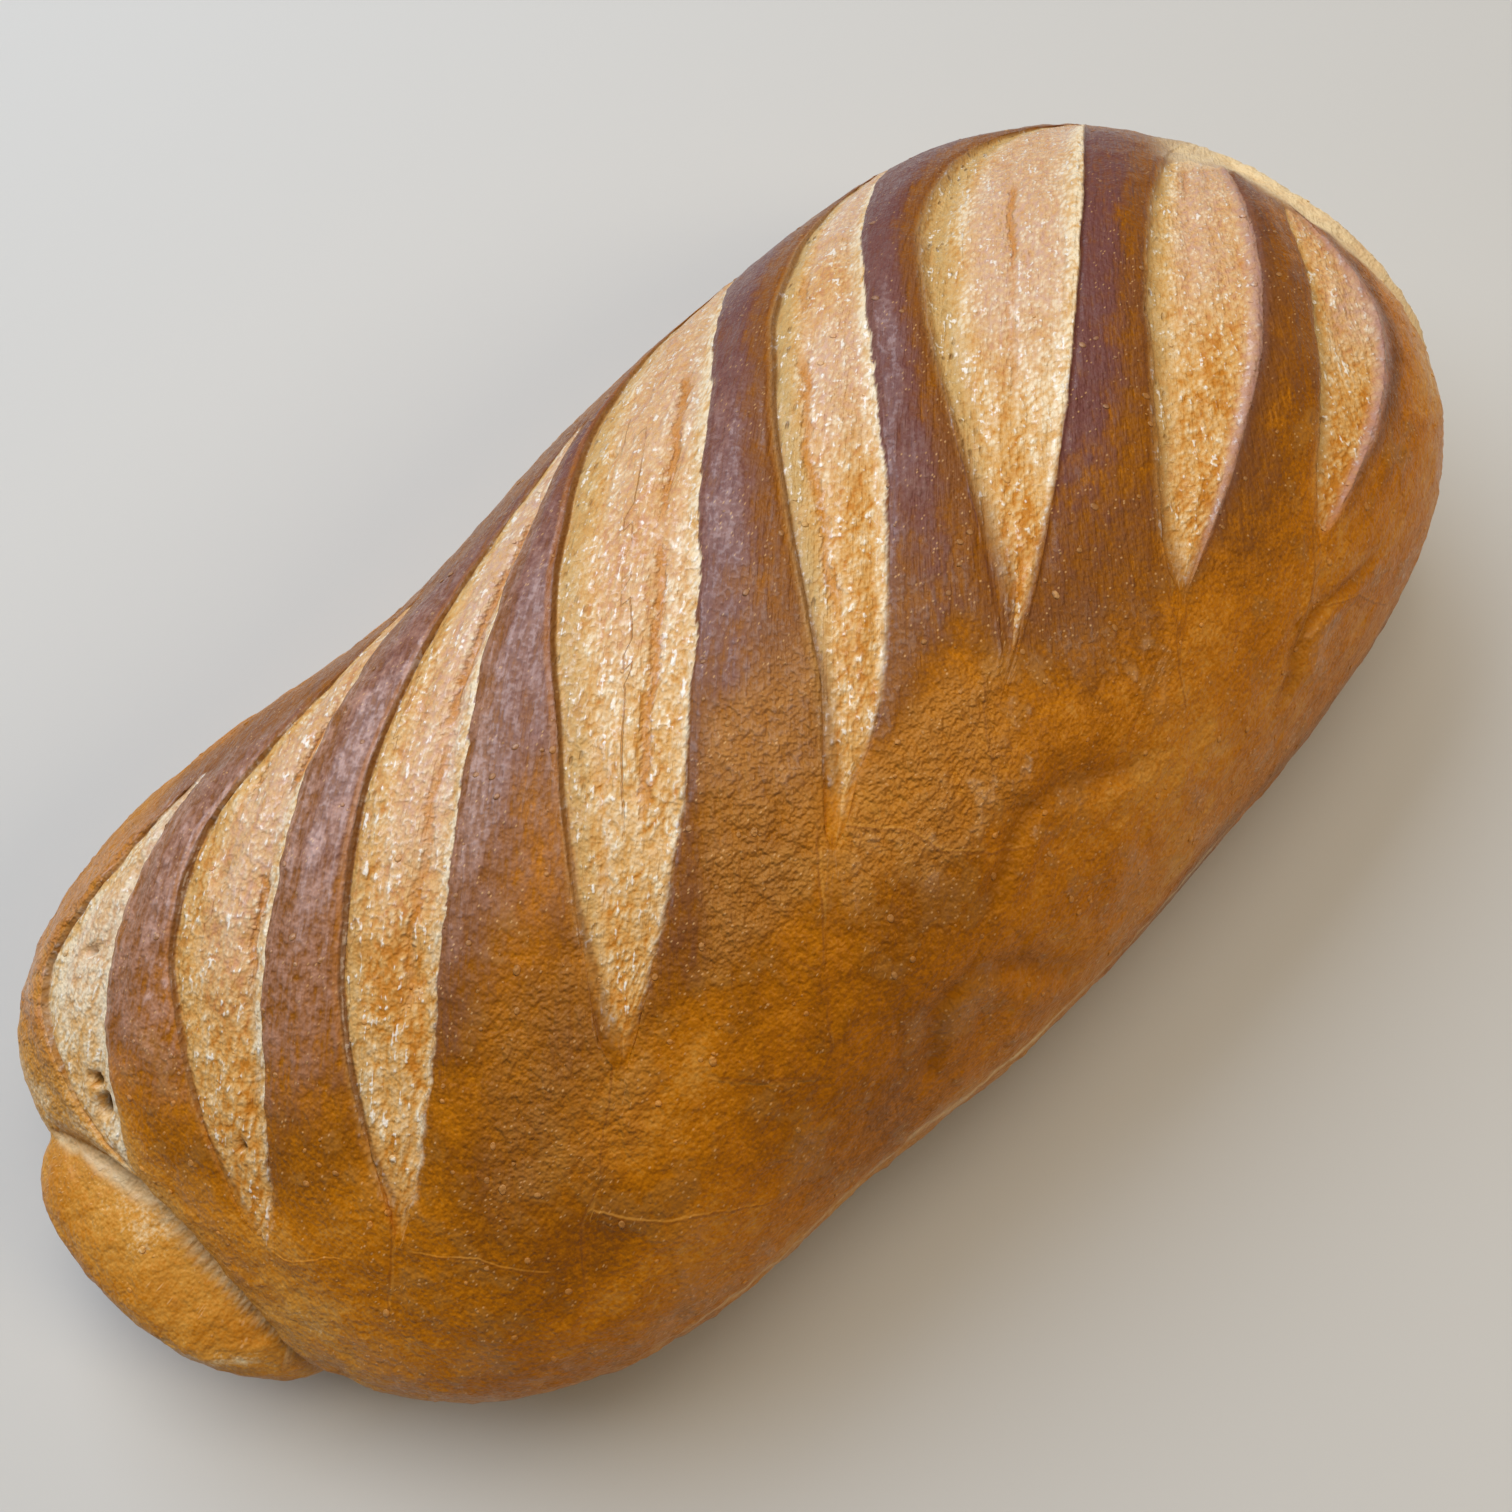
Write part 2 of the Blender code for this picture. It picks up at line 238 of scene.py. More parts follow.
FOLDS = (
    ((14.6, -66), (15.3, -61), (20.2, -59.5), (26.2, -61.5), (33.4, -65), (40.8, -71)),
    ((34.0, -47), (38.5, -43.5), (43.6, -43), (49.8, -44.5), (58.0, -47)),
    ((113.0, -56), (115.5, -52), (121.0, -51), (127.0, -51)),
)
LINE_CORE = 0.4  # share of its reach over which a line keeps its full height
HAIRLINE_REACH = 0.0022
HAIRLINE_STEP = 0.00008
FOLD_REACH = 0.011
Wave = namedtuple("Wave", "place width height")  # beside the line of a fold
VALLEY = Wave(-0.0013, 0.0019, -0.0008)
ROLL = Wave(0.0030, 0.0034, 0.0007)

# ---------------------------------------------------------------------------------------------------------
# The fine mesh.

TABLE_RINGS = 900
TABLE_STEPS = 500
BISECTIONS = 32
TOP_STEPS = 184
UNDER_STEPS = 36
BAND_GAP = 0.00118  # between mesh lines across an open slash, as rings
STRIP_GAP = 0.00125
END_LINES = (26, 40)
END_EASE = 1.5
LEAST_BAND = 0.10  # mesh lines keep this share of a slash's width at its tips
SPREAD_BAND = 0.62  # and this share a little way beyond them
SPREAD_ANGLE = 16
BAND_LINES = 14  # at least
STRIP_LINES = 12
BAND_CROWDING = 0.72  # of mesh lines towards the edges of a slash, and of a strip
STRIP_CROWDING = 0.55
OUTER_SKIN = 0.004
CURTAIN_SHARE = 0.656  # distance across the slashes for each metre of ring
WANDER_SIZE = 512


def smooth_step(share):
    share = np.clip(share, 0, 1)
    return share * share * (3 - 2 * share)


def between(low, high, value):
    """0 up to low, 1 from high on, and smooth between them."""
    return smooth_step((value - low) / (high - low))


def within(value, start, full, fade, end):
    """1 from full to fade, 0 outside start and end, and smooth between them."""
    return between(start, full, value) * (1 - between(fade, end, value))


def blend(share, first, second):
    return first * (1 - share) + second * share


def wander(place, step, seed):
    """Smooth random waves between -1 and 1, with a turn about every step."""
    draw = np.random.default_rng(seed).uniform(-1, 1, WANDER_SIZE)
    spot = np.asarray(place) / step + WANDER_SIZE
    low = np.floor(spot).astype(int)
    share = smooth_step(spot - low)
    return blend(share, draw[low % WANDER_SIZE], draw[(low + 1) % WANDER_SIZE])


def patches(across, along, step, seed):
    """Smooth random patches between -1 and 1 on a plane."""
    draw = np.random.default_rng(seed).uniform(-1, 1, (WANDER_SIZE, WANDER_SIZE))
    u = across / step + WANDER_SIZE
    v = along / step + WANDER_SIZE
    i = np.floor(u).astype(int)
    j = np.floor(v).astype(int)
    s = smooth_step(u - i)
    t = smooth_step(v - j)
    i, after_i = i % WANDER_SIZE, (i + 1) % WANDER_SIZE
    j, after_j = j % WANDER_SIZE, (j + 1) % WANDER_SIZE
    near = blend(s, draw[i, j], draw[after_i, j])
    far = blend(s, draw[i, after_j], draw[after_i, after_j])
    return blend(t, near, far)


def hump(place):
    """A smooth hump, 1 high at 0 and about 2 wide."""
    return np.exp(-(place**2))


def by_side(u, pair):
    return np.where(u < 0, pair[0], pair[1])


def along(x, y):
    """Place along the loaf, -1 to 1."""
    return (x - END_SKEW * y) / HALF_LENGTH


def waisted(u, waist):
    return 1 - waist.share * hump((u - waist.place) / waist.spread)


def section(x, y):
    """Half width on the point's own side, distance from the centre line and share of the crest's height."""
    u = along(x, y)
    reach = np.minimum(1.0, np.abs(u))
    width = HALF_WIDTH * (1 - reach ** by_side(u, OUTLINE_POWER)) ** by_side(u, OUTLINE_ROUND)
    crest = (1 - reach ** by_side(u, CREST_POWER)) ** by_side(u, CREST_ROUND)
    aside = y - HALF_LENGTH * (BANANA * u**2 + BANANA_LEAN * u**3)
    width *= np.where(aside < 0, waisted(u, FRONT_WAIST), waisted(u, BACK_WAIST))
    return width, np.abs(aside), crest


def margin(x, y):
    width, aside, _ = section(x, y)
    past_end = np.maximum(0.0, np.abs(along(x, y)) - 1) * HALF_LENGTH
    return width - aside - past_end


def curtain_x(ring, y):
    return ring + SLASH_SLOPE * y + SLASH_BEND * y**2


def last_good(good, held, beyond):
    """The last place that is good, between one that is and one that isn't."""
    for _ in range(BISECTIONS):
        middle = (held + beyond) / 2
        fits = good(middle)
        held = np.where(fits, middle, held)
        beyond = np.where(fits, beyond, middle)
    return held


def chord_ends(rings):
    """The y of the front and back edge of each ring. It is nan where the curtain misses the loaf."""
    y = np.linspace(-1.3 * HALF_WIDTH, 1.3 * HALF_WIDTH, TABLE_STEPS)
    inside = margin(curtain_x(rings[:, None], y[None]), y[None]) > 0
    hit = inside.any(axis=1)
    first = inside.argmax(axis=1)
    last = len(y) - 1 - inside[:, ::-1].argmax(axis=1)
    ends = []
    for index, step in ((first, -1), (last, 1)):
        beyond = y[np.clip(index + step, 0, len(y) - 1)]
        end = last_good(lambda place: margin(curtain_x(rings, place), place) > 0, y[index], beyond)
        ends.append(np.where(hit, end, np.nan))
    return ends


def outermost_ring(missed):
    def hits(ring):
        return not np.isnan(chord_ends(np.array([ring]))[0][0])

    return last_good(hits, 0.0, missed)


class Chords:
    """A table of ring middles and half chords, from one pole of the skin to the other."""

    def __init__(self):
        self.first = outermost_ring(-2 * HALF_LENGTH)
        self.last = outermost_ring(2 * HALF_LENGTH)
        turn = np.linspace(0.0, np.pi, TABLE_RINGS)
        centre = (self.first + self.last) / 2
        self.rings = centre - (self.last - self.first) / 2 * np.cos(turn)
        self.rings[0] = self.first
        self.rings[-1] = self.last
        front, back = chord_ends(self.rings)
        self.middle = (front + back) / 2
        self.half = (back - front) / 2

    def y(self, ring, angle):
        middle = np.interp(ring, self.rings, self.middle)
        half = np.interp(ring, self.rings, self.half)
        return middle + half * np.sin(np.radians(angle))


def skin(chords, ring, angle):
    """Points of the loaf without its slashes."""
    y = chords.y(ring, angle)
    x = curtain_x(ring, y)
    width, aside, crest = section(x, y)
    across = np.minimum(1.0, aside / np.maximum(width, 1e-9))
    bow = (1 - across**SECTION_POWER) ** (1 / SECTION_POWER)
    top = EDGE_HEIGHT + (HEIGHT - EDGE_HEIGHT) * crest * bow
    belly = np.sqrt(1 - np.minimum(1.0, np.abs(along(x, y))) ** BELLY_POWER)
    under = EDGE_HEIGHT * np.maximum(0.0, 1 - BELLY_DEPTH * belly * bow)
    z = np.where(np.abs(angle) <= 90, top, under)
    return np.stack([x, y, z], axis=-1)


def top_angle(angle):
    return np.degrees(np.arcsin(np.clip(np.sin(np.radians(angle)), -1, 1)))


Opening = namedtuple("Opening", "left right depth share")
NOTCHES = (Bend(0.45, 0.0026, 0), Bend(0.7, 0.0075, 20))
SWAY = Bend(0.7, 0.011, 40)
CALM_WIDTH = 0.008  # a narrower slash has calmer edges
RIDGED_NOTCHES = 0.35


def open_slash(index, angle, ragged):
    """Left edge, right edge, depth share and share of the way back of a slash, at each angle."""
    slash = SLASHES[index]
    share = np.clip((angle - slash.front_angle) / (slash.back_angle - slash.front_angle), 0, 1)
    bow = slash.middle - (slash.front + slash.back) / 2
    straight = slash.front + (slash.back - slash.front) * share
    right = straight + share * (1 - share) * (4 * bow + 6 * slash.lean * (1 - 2 * share))
    opened = np.maximum(0.0, np.sin(np.pi * share**slash.peak))
    width = slash.width * opened**slash.bluntness
    place = np.radians(angle) * HALF_WIDTH
    small, large, sway = (
        wander(place, bend.step, bend.seed + index) * bend.height for bend in (*NOTCHES, SWAY)
    )
    notch = small + large
    calm = np.minimum(1.0, width / CALM_WIDTH)
    right = right + ragged * notch * calm * (RIDGED_NOTCHES if slash.ridged else 1.0)
    left = right - width + ragged * (sway - notch) * calm
    return Opening(left, right, opened**DEPTH_ROUND, share)


def edge_shares(count, crowding):
    """Shares from 0 to 1 that crowd towards both ends."""
    even = np.arange(count)[:, None] / count
    return even - crowding * np.sin(2 * np.pi * even) / (2 * np.pi)


def mesh_lines(chords, angle, openings):
    """Mesh lines from pole to pole, as rings at each angle."""
    lefts = []
    for slash, opening in zip(SLASHES, openings):
        outside = np.maximum(slash.front_angle - angle, angle - slash.back_angle)
        kept = LEAST_BAND + (SPREAD_BAND - LEAST_BAND) * smooth_step(outside / SPREAD_ANGLE)
        lefts.append(np.minimum(opening.left, opening.right - kept * slash.width))
    first = lefts[0] - OUTER_SKIN
    last = openings[-1].right + OUTER_SKIN
    ease = (np.arange(1, END_LINES[0]) / END_LINES[0])[:, None] ** END_EASE
    rings = [chords.first + (first - chords.first) * ease, first[None]]
    for index, (slash, opening) in enumerate(zip(SLASHES, openings)):
        shares = edge_shares(max(BAND_LINES, round(slash.width / BAND_GAP)), BAND_CROWDING)
        rings.append(lefts[index] + (opening.right - lefts[index]) * shares)
        if index + 1 < len(SLASHES):
            wide = (lefts[index + 1] - opening.right).mean()
            shares = edge_shares(max(STRIP_LINES, round(wide / STRIP_GAP)), STRIP_CROWDING)
            rings.append(opening.right + (lefts[index + 1] - opening.right) * shares)
    rings += [openings[-1].right[None], last[None]]
    ease = (np.arange(1, END_LINES[1]) / END_LINES[1])[:, None] ** END_EASE
    rings.append(chords.last - (chords.last - last) * ease[::-1])
    return np.concatenate(rings)


def profile(place, knots):
    """Heights at places, smooth from knot to knot. A knot's height may vary over the places."""
    height = np.zeros_like(place)
    for (near, low), (far, high) in zip(knots, knots[1:]):
        risen = low + (high - low) * between(near, far, place)
        height = np.where((place >= near) & (place <= far), risen, height)
    return height


class Field:
    """Numbers at every point of the mesh: where it lies on the skin, its relief and its looks."""

    def __init__(self, ring, angle, openings):
        self.ring = ring
        self.angle = angle
        self.across = ring * CURTAIN_SHARE
        self.down = np.radians(angle) * HALF_WIDTH
        self.openings = openings
        self.seam = np.full_like(ring, 0.01)
        self.seam_near = np.zeros_like(ring)
        self.painted_pit_shade = np.zeros_like(ring)
        self.find_slashes()

    def find_slashes(self):
        """The nearest slash of every point, and the point's place across and along it."""
        lefts, rights, depths, shares = (np.array(rows) for rows in zip(*self.openings))
        left_gap = lefts[:, None] - self.ring
        right_gap = self.ring - rights[:, None]
        self.number = np.maximum(left_gap, right_gap).argmin(axis=0)
        column = np.arange(self.ring.shape[1])
        self.left_gap = np.take_along_axis(left_gap, self.number[None], axis=0)[0]
        self.right_gap = np.take_along_axis(right_gap, self.number[None], axis=0)[0]
        self.depth = depths[self.number, column]
        self.share = shares[self.number, column]
        self.side = (self.right_gap > self.left_gap).astype(float)
        self.edge = -np.maximum(self.left_gap, self.right_gap) * CURTAIN_SHARE
        width = np.maximum(1e-6, rights - lefts)[self.number, column]
        self.place = np.clip(-self.left_gap / width, 0, 1)
        self.open = (self.edge > 0).astype(float)
        soft = np.where(self.side > 0.5, self.finish("soft_right"), self.finish("soft_left"))
        tip = 1 - between(*TIP_SHARES, self.share)
        self.soft = soft + TIP_BLEND * tip * (1 - 0.6 * self.side)
        self.edge_shown = self.edge - 1.5 * self.soft * (1 - self.depth) ** 2

    def finish(self, name):
        return np.array([getattr(finish, name) for finish in FINISHES])[self.number]

    def slash_relief(self):
        """Cuts the slashes and raises the strips between them."""
        height = np.zeros_like(self.ring)
        self.strip = np.full_like(self.ring, 0.5)
        ended = self.openings[0].left[None] - FIRST_SKIN
        had = 0.0
        end_height = 0.0
        for slash, opening in zip(SLASHES, self.openings):
            left, right, depth = (part[None] for part in opening[:3])
            band = RIDGED_BAND if slash.ridged else LIFTED_BAND
            lip = SOFT_LIP if slash.ridged else LIFTED_LIP
            share = (self.ring - ended) / np.maximum(left - ended, 1e-6)
            knots = (
                (0.0, end_height * had),
                (STRIP_STEP, 0.0),
                (STRIP_EDGE, STRIP_RIM * had),
                (0.5, STRIP_CROWN * np.minimum(had, depth)),
                (1 - STRIP_EDGE, lip * depth),
                (1.0, band[0][1] * depth),
            )
            strip = (share >= 0) & (share < 1)
            height = np.where(strip, profile(share, knots), height)
            self.strip = np.where(strip, share, self.strip)
            place = (self.ring - left) / np.maximum(right - left, 1e-6)
            inside = (place >= 0) & (place <= 1) & (right - left > 1e-5)
            height = np.where(inside, profile(place, band) * depth, height)
            ended, had, end_height = right, depth, band[-1][1]
        share = (self.ring - ended) / LAST_SKIN
        knots = ((0.0, end_height), (0.12, STRIP_RIM), (0.5, 0.0), (1.0, 0.0))
        return np.where((share > 0) & (share < 1), profile(share, knots) * had, height)

    def groove_relief(self):
        height = np.zeros_like(self.ring)
        for number, groove in enumerate(GROOVES):
            opening = self.openings[groove.slash]
            first, last = groove.angles
            share = (self.angle - first) / (last - first)
            here = within(share, *GROOVE_SHARES)
            place = groove.places[0] + (groove.places[1] - groove.places[0]) * share
            middle = opening.left[None] + (opening.right - opening.left)[None] * place
            for bend in GROOVE_BENDS:
                middle = middle + bend.height * wander(self.down, bend.step, bend.seed + number)
            aside = (self.ring - middle) * CURTAIN_SHARE
            broken = 0.62 + 0.5 * wander(self.down, 0.009, 80 + number)
            wide = groove.width * (0.8 + 0.35 * wander(self.down, 0.005, 90 + number))
            shown = here * np.clip(broken, 0, 1) * self.open
            height -= groove.depth * hump(aside / wide) * shown
            nearer = (np.abs(aside) < np.abs(self.seam)) & (shown > 0)
            self.seam = np.where(nearer, aside, self.seam)
            strength = shown * groove.depth / DEEPEST_GROOVE
            self.seam_near = np.where(nearer, strength, self.seam_near)
        return height

    def hole_relief(self):
        """Shallow dents in the skin and deep pits in the slashes, with the strength of the painted shade in
        each pit.
        """
        height = np.zeros_like(self.ring)
        for hole in (*PITS, *DENTS):
            pitted = hole in PITS
            aside = (self.ring - hole.ring) * (CURTAIN_SHARE if pitted else 1) / hole.across
            down = (self.down - math.radians(hole.angle) * HALF_WIDTH) / hole.along
            share = np.exp(-((aside**2 + down**2) ** (PIT_POWER if pitted else 1)))
            height -= hole.depth * share
            if pitted:
                self.painted_pit_shade = np.maximum(self.painted_pit_shade, share * min(1.0, hole.depth / DARK_DEPTH))
        return height

    def fold_relief(self):
        """The rounded fold round the back of the +X end."""
        fold_angle = FOLD_ANGLE - FOLD_FALL * np.maximum(0.0, self.ring - FOLD_TURN_RING)
        below = np.radians(self.angle - fold_angle) * HALF_WIDTH / FOLD_SPREAD
        grown = between(*FOLD_START_RINGS, self.ring)
        ragged = below + 0.5 * patches(self.across, self.down, 0.004, 43)
        self.fold = grown * within(ragged, *FOLD_PALE)
        self.beyond_fold = grown * between(*FOLD_PLAIN, below)
        return grown * (FOLD_LIFT * hump(below - 1) - FOLD_CREASE * hump(below + 1))

    def nearest_line(self, lines, reach):
        """Signed distance to the nearest of some lines, and how near its drawn stretch is, 0 to 1."""
        best = np.full_like(self.ring, 1.0)
        signed = np.full_like(self.ring, 1.0)
        for line in lines:
            points = [
                (ring / 1000 * CURTAIN_SHARE, math.radians(angle) * HALF_WIDTH)
                for ring, angle in line
            ]
            for start, end in zip(points, points[1:]):
                run = (end[0] - start[0], end[1] - start[1])
                length = math.hypot(*run)
                aside = self.across - start[0]
                down = self.down - start[1]
                share = np.clip((aside * run[0] + down * run[1]) / length**2, 0, 1)
                gap = np.hypot(aside - share * run[0], down - share * run[1])
                side = (aside * run[1] - down * run[0]) / length
                nearer = gap < best
                best = np.where(nearer, gap, best)
                signed = np.where(nearer, side, signed)
        return signed, 1 - between(LINE_CORE * reach, reach, best)

    def line_relief(self):
        """Hairlines and folds in the skin."""
        wave = 0.00035 * wander(self.across * 1.3 + self.down, 0.004, 7)
        self.crack, near = self.nearest_line(HAIRLINES, HAIRLINE_REACH)
        self.crack = self.crack + wave
        self.crack_near = near * (1 - self.open)
        height = HAIRLINE_STEP * between(-0.0006, 0.0006, self.crack) * near
        fold, fold_near = self.nearest_line(FOLDS, FOLD_REACH)
        fold = fold + wave
        valley = hump((fold - VALLEY.place) / VALLEY.width)
        roll = hump((fold - ROLL.place) / ROLL.width)
        # The valley's mask also places painted shade in the colour.
        self.valley = valley * fold_near
        return height + fold_near * (ROLL.height * roll + VALLEY.height * valley)


def tuck_end(points, field):
    """Pushes the lower -X end out into the folded lobe, below a crease."""
    x, y, z = points.T
    side = (y - LOBE_MIDDLE_Y) / LOBE_HALF_SPAN
    span = np.sqrt(np.maximum(0.0, 1 - side**2))
    crease = LOBE_TOP - LOBE_TOP_DROP * (y - LOBE_MIDDLE_Y - 0.2 * LOBE_HALF_SPAN) ** 2
    below = crease - z
    rise = np.clip(below / LOBE_SHOULDER, 0, 1)
    foot = LOBE_FOOT + (1 - LOBE_FOOT) * np.clip(z / (LOBE_TOP - LOBE_SHOULDER), 0, 1) ** 0.5
    push = LOBE_REACH * np.sqrt(1 - (1 - rise) ** 2) * foot
    push -= CREASE_DEPTH * hump(below / CREASE_WIDTH)
    start = between(LOBE_START_X, LOBE_FULL_X, x)
    push *= span * start
    away = np.stack([x - LOBE_ANCHOR[0], y - LOBE_ANCHOR[1]])
    away /= np.maximum(1e-9, np.hypot(*away))
    shape = field.ring.shape
    here = between(*LOBE_SIDES, span) * start
    field.lobe = (between(*LOBE_BORDER, below) * here).reshape(shape)
    painted_shade = hump((below - CREASE_SHADE[0]) / CREASE_SHADE[1])
    field.lobe_crease = (painted_shade * here).reshape(shape)
    torn = 1 + 0.22 * wander(y, 0.0060, 51) + 0.12 * patches(y, below, 0.0040, 52)
    reached = np.sqrt(1 - (1 - rise) ** 2) / ((0.21 + 3.4 * np.clip(y + 0.004, 0, 0.03)) * torn)
    cream = between(-0.0008, 0.0006, below) * (1 - between(0.65, 1.15, reached))
    field.lobe_cream = (cream * here).reshape(shape)
    points[:, 0] += push * away[0]
    points[:, 1] += push * away[1]


def vertex_normals(grid):
    """Outward normals of a skin of points, which is closed round its second axis."""
    around = np.roll(grid, -1, axis=1) - np.roll(grid, 1, axis=1)
    ahead = np.gradient(grid, axis=0)
    normal = np.cross(ahead, around)
    return normal / np.maximum(1e-12, np.linalg.norm(normal, axis=-1, keepdims=True))


# ---------------------------------------------------------------------------------------------------------
# How well baked the skin is, 0 for raw cream to 1 for the darkest brown.

BACK_RINGS = (-0.19, -0.13, -0.09, -0.05, 0.0, 0.07, 0.115, 0.137, 0.18)
BACK_ANGLES = (34, 40, 46, 60, 64, 58, 50, 36, 20)
BAKE_ANGLES = (-90, -86, -79, -60, -38, -29, -22, -12, 0, 20, 60, 90)
BAKE_LEVELS = (0.36, 0.44, 0.46, 0.46, 0.52, 0.68, 0.80, 0.87, 0.90, 0.90, 0.86, 0.82)
BROWN_RINGS = (-0.200, -0.173, -0.135, -0.086, -0.026, 0.0195, 0.064, 0.101, 0.140)
BROWN_ANGLES = (-20, -32, -38, -36, -30, -22, -27, -32, -26)
BROWN_MIDDLE = -29
FRONT_RINGS = (-0.20, -0.118, -0.083, -0.040, 0.004, 0.035, 0.078, 0.10)
FRONT_BAKES = (-0.09, -0.10, 0.07, -0.05, 0.20, 0.05, -0.05, 0.02)
SHEEN_RINGS = (-0.20, -0.125, -0.09, -0.06, -0.015, 0.04, 0.15)
SHEEN_LEVELS = (0.95, 1.0, 0.62, 0.38, 0.44, 0.05, 0.08)
SHEEN_LOW_RINGS = (-0.175, -0.125, -0.075)
SHEEN_LOW_ANGLES = (-40, -34, -26)
PLUM_RINGS = (-0.17, -0.130, -0.086, -0.033, 0.013, 0.061, 0.098, 0.144)
PLUM_ANGLES = (2, -4, -8, -4, -9, -15, -12, 40)
PLUM_SHARES = (0.45, 0.65, 0.75, 0.9, 1.0, 0.95, 0.45, 0.6)
PLUM_TURN = -0.06  # left of this ring the bloom lies towards the right slash of a strip, else to the left
TONE_PLACES = (0.0, 0.1, 0.25, 0.5, 0.8, 0.93, 1.0)
TONES = (0.26, 0.40, 0.56, 0.46, 0.50, 0.75, 0.95)
FIRST_TONE = 0.34  # more cream in the first slash
RIDGE_PLACES = (0.76, 0.97)
RIDGE_TONE = -0.40
OLIVE_PLACES = (0.30, 0.10)
ROSY_PLACES = (0.20, 0.40, 0.84, 0.97)
CREST_PLACE = 0.0004  # from the edge of the slash, inwards
CREST_HALF_WIDTH = 0.0014
SHADE_PLACES = (0.0, 0.0012, 0.0015, 0.0075)  # where the painted shade lies behind a crest, outwards
Patch = namedtuple("Patch", "rings angles strength")
Spot = namedtuple("Spot", "ring angle along across bake")  # along in metres, across in degrees
BAKE_SPOTS = (
    Spot(-0.175, -20, 0.012, 10, -0.16),
    Spot(-0.125, -23, 0.014, 10, -0.15),
    Spot(-0.077, -17, 0.011, 13, -0.18),
    Spot(-0.026, -15, 0.010, 12, -0.16),
    Spot(-0.202, -46, 0.012, 10, -0.08),
    Spot(-0.145, -80, 0.014, 8, -0.08),
    Spot(-0.115, -54, 0.013, 7, 0.12),
    Spot(-0.062, -55, 0.014, 7, 0.22),
    Spot(-0.028, -55, 0.016, 7, 0.09),
    Spot(-0.068, -36, 0.011, 9, 0.18),
    Spot(-0.036, -35, 0.014, 6, -0.09),
    Spot(0.005, -32, 0.012, 5, -0.07),
    Spot(0.046, -32, 0.010, 5, 0.06),
    Spot(0.127, -44, 0.014, 8, -0.11),
    Spot(0.110, -50, 0.012, 8, -0.06),
    Spot(0.064, -3, 0.008, 12, -0.09),
    Spot(0.076, 26, 0.012, 12, -0.07),
)
Corner = namedtuple("Corner", "rings angles bake")  # from the first ring and angle to the second, and on
BAKE_CORNERS = (
    Corner((-0.150, -0.185), (-44.0, -58.0), -0.12),
    Corner((0.100, 0.116), (-35.0, -20.0), -0.14),
    # Painted shade: darker skin low on the front right, where the contact shadow of the loaf falls.
    Corner((0.045, 0.070), (-77.0, -86.0), 0.22),
)
PALE_BACK = 0.44
PALER_EDGE = 0.21
PALER_ANGLES = (60.0, 92.0)
PALER_RINGS = (0.040, 0.125)
SHARP_RINGS = (0.080, 0.105)  # where the border of the pale back turns sharp
DARK_BAKES = (0.55, 0.80)
FRONT_START = (-88.0, -76.0)
FRONT_END = (-30.0, -44.0)
LEFT_END_RINGS = (-0.185, -0.215)
LEFT_END_BAKE = 0.44
RIGHT_END_RINGS = (0.150, 0.176)
RIGHT_END_BAKE = 0.38
LOBE_BAKE = 0.31
RIBBON_ANGLE = -86.0
RIBBON_RINGS = (-0.070, -0.030, 0.085, 0.110)
BLISTER_FREE_ANGLES = (78.0, 88.0)
LEATHERY = (
    Patch((-0.008, 0.000, 0.030, 0.042), (-41.5, -39.0, -27.0, -22.0), 1.0),
    Patch((-0.036, -0.032, -0.010, -0.002), (-38.0, -31.0, -14.0, -7.0), 1.0),
    Patch((-0.088, -0.078, -0.052, -0.042), (-50.0, -42.0, -26.0, -18.0), 0.55),
)
LEATHERY_END = 0.75


def bake_level(field):
    """The bake of the unslashed skin and the strips."""
    ring, angle = field.ring, field.angle
    spotty = patches(field.across, field.down, 0.014, 3)
    finer = patches(field.across, field.down * 0.7, 0.006, 4)
    lower = BROWN_MIDDLE - np.interp(ring, BROWN_RINGS, BROWN_ANGLES)
    shifted = angle + lower * between(-80.0, -60.0, angle) + 7 * spotty + 2.5 * finer
    level = np.interp(shifted, BAKE_ANGLES, BAKE_LEVELS)

    beyond = angle - np.interp(ring, BACK_RINGS, BACK_ANGLES)
    sharp = between(*SHARP_RINGS, ring)
    behind = between(-4.0 + 2 * sharp, 26.0 - 23 * sharp, beyond + (4 - 2 * sharp) * spotty)
    far_back = between(*PALER_ANGLES, np.abs(angle) + 2 * spotty)
    end = between(*PALER_RINGS, ring + 0.012 * spotty)
    paler = PALE_BACK + 0.05 * finer - PALER_EDGE * np.maximum(far_back, end)
    level = blend(behind, level, paler)

    dark = between(*DARK_BAKES, level)
    level = blend(dark, level, level * (1 - 0.04 * between(0.25, 1.0, field.strip)))
    level = blend(between(*LEFT_END_RINGS, ring), level, LEFT_END_BAKE + 0.06 * spotty)
    front = between(*FRONT_START, angle) * between(*FRONT_END, angle)
    level = level + np.interp(ring, FRONT_RINGS, FRONT_BAKES) * front
    for spot in BAKE_SPOTS:
        aside = (ring - spot.ring) / spot.along
        down = (angle - spot.angle + 2 * spotty) / spot.across
        level = level + spot.bake * hump(aside) * hump(down)
    level = blend(between(*RIGHT_END_RINGS, ring), level, np.minimum(level, RIGHT_END_BAKE))
    for corner in BAKE_CORNERS:
        level = level + corner.bake * between(*corner.rings, ring) * between(*corner.angles, angle)
    level = blend(field.lobe, level, LOBE_BAKE + 0.12 * spotty)
    return np.clip(level + 0.03 * spotty + 0.03 * finer, 0, 1)


def base_ribbon(field):
    """The pale torn rim where the front side leaves the baking sheet."""
    torn = 0.6 * wander(field.across, 0.006, 31) + 0.5 * wander(field.across, 0.0021, 32)
    rim = 1 - between(0.2, 1.0, np.abs(field.angle - RIBBON_ANGLE + torn))
    reach = within(field.ring, *RIBBON_RINGS)
    return rim * reach * np.clip(0.60 + 0.3 * wander(field.across, 0.013, 33), 0, 1)


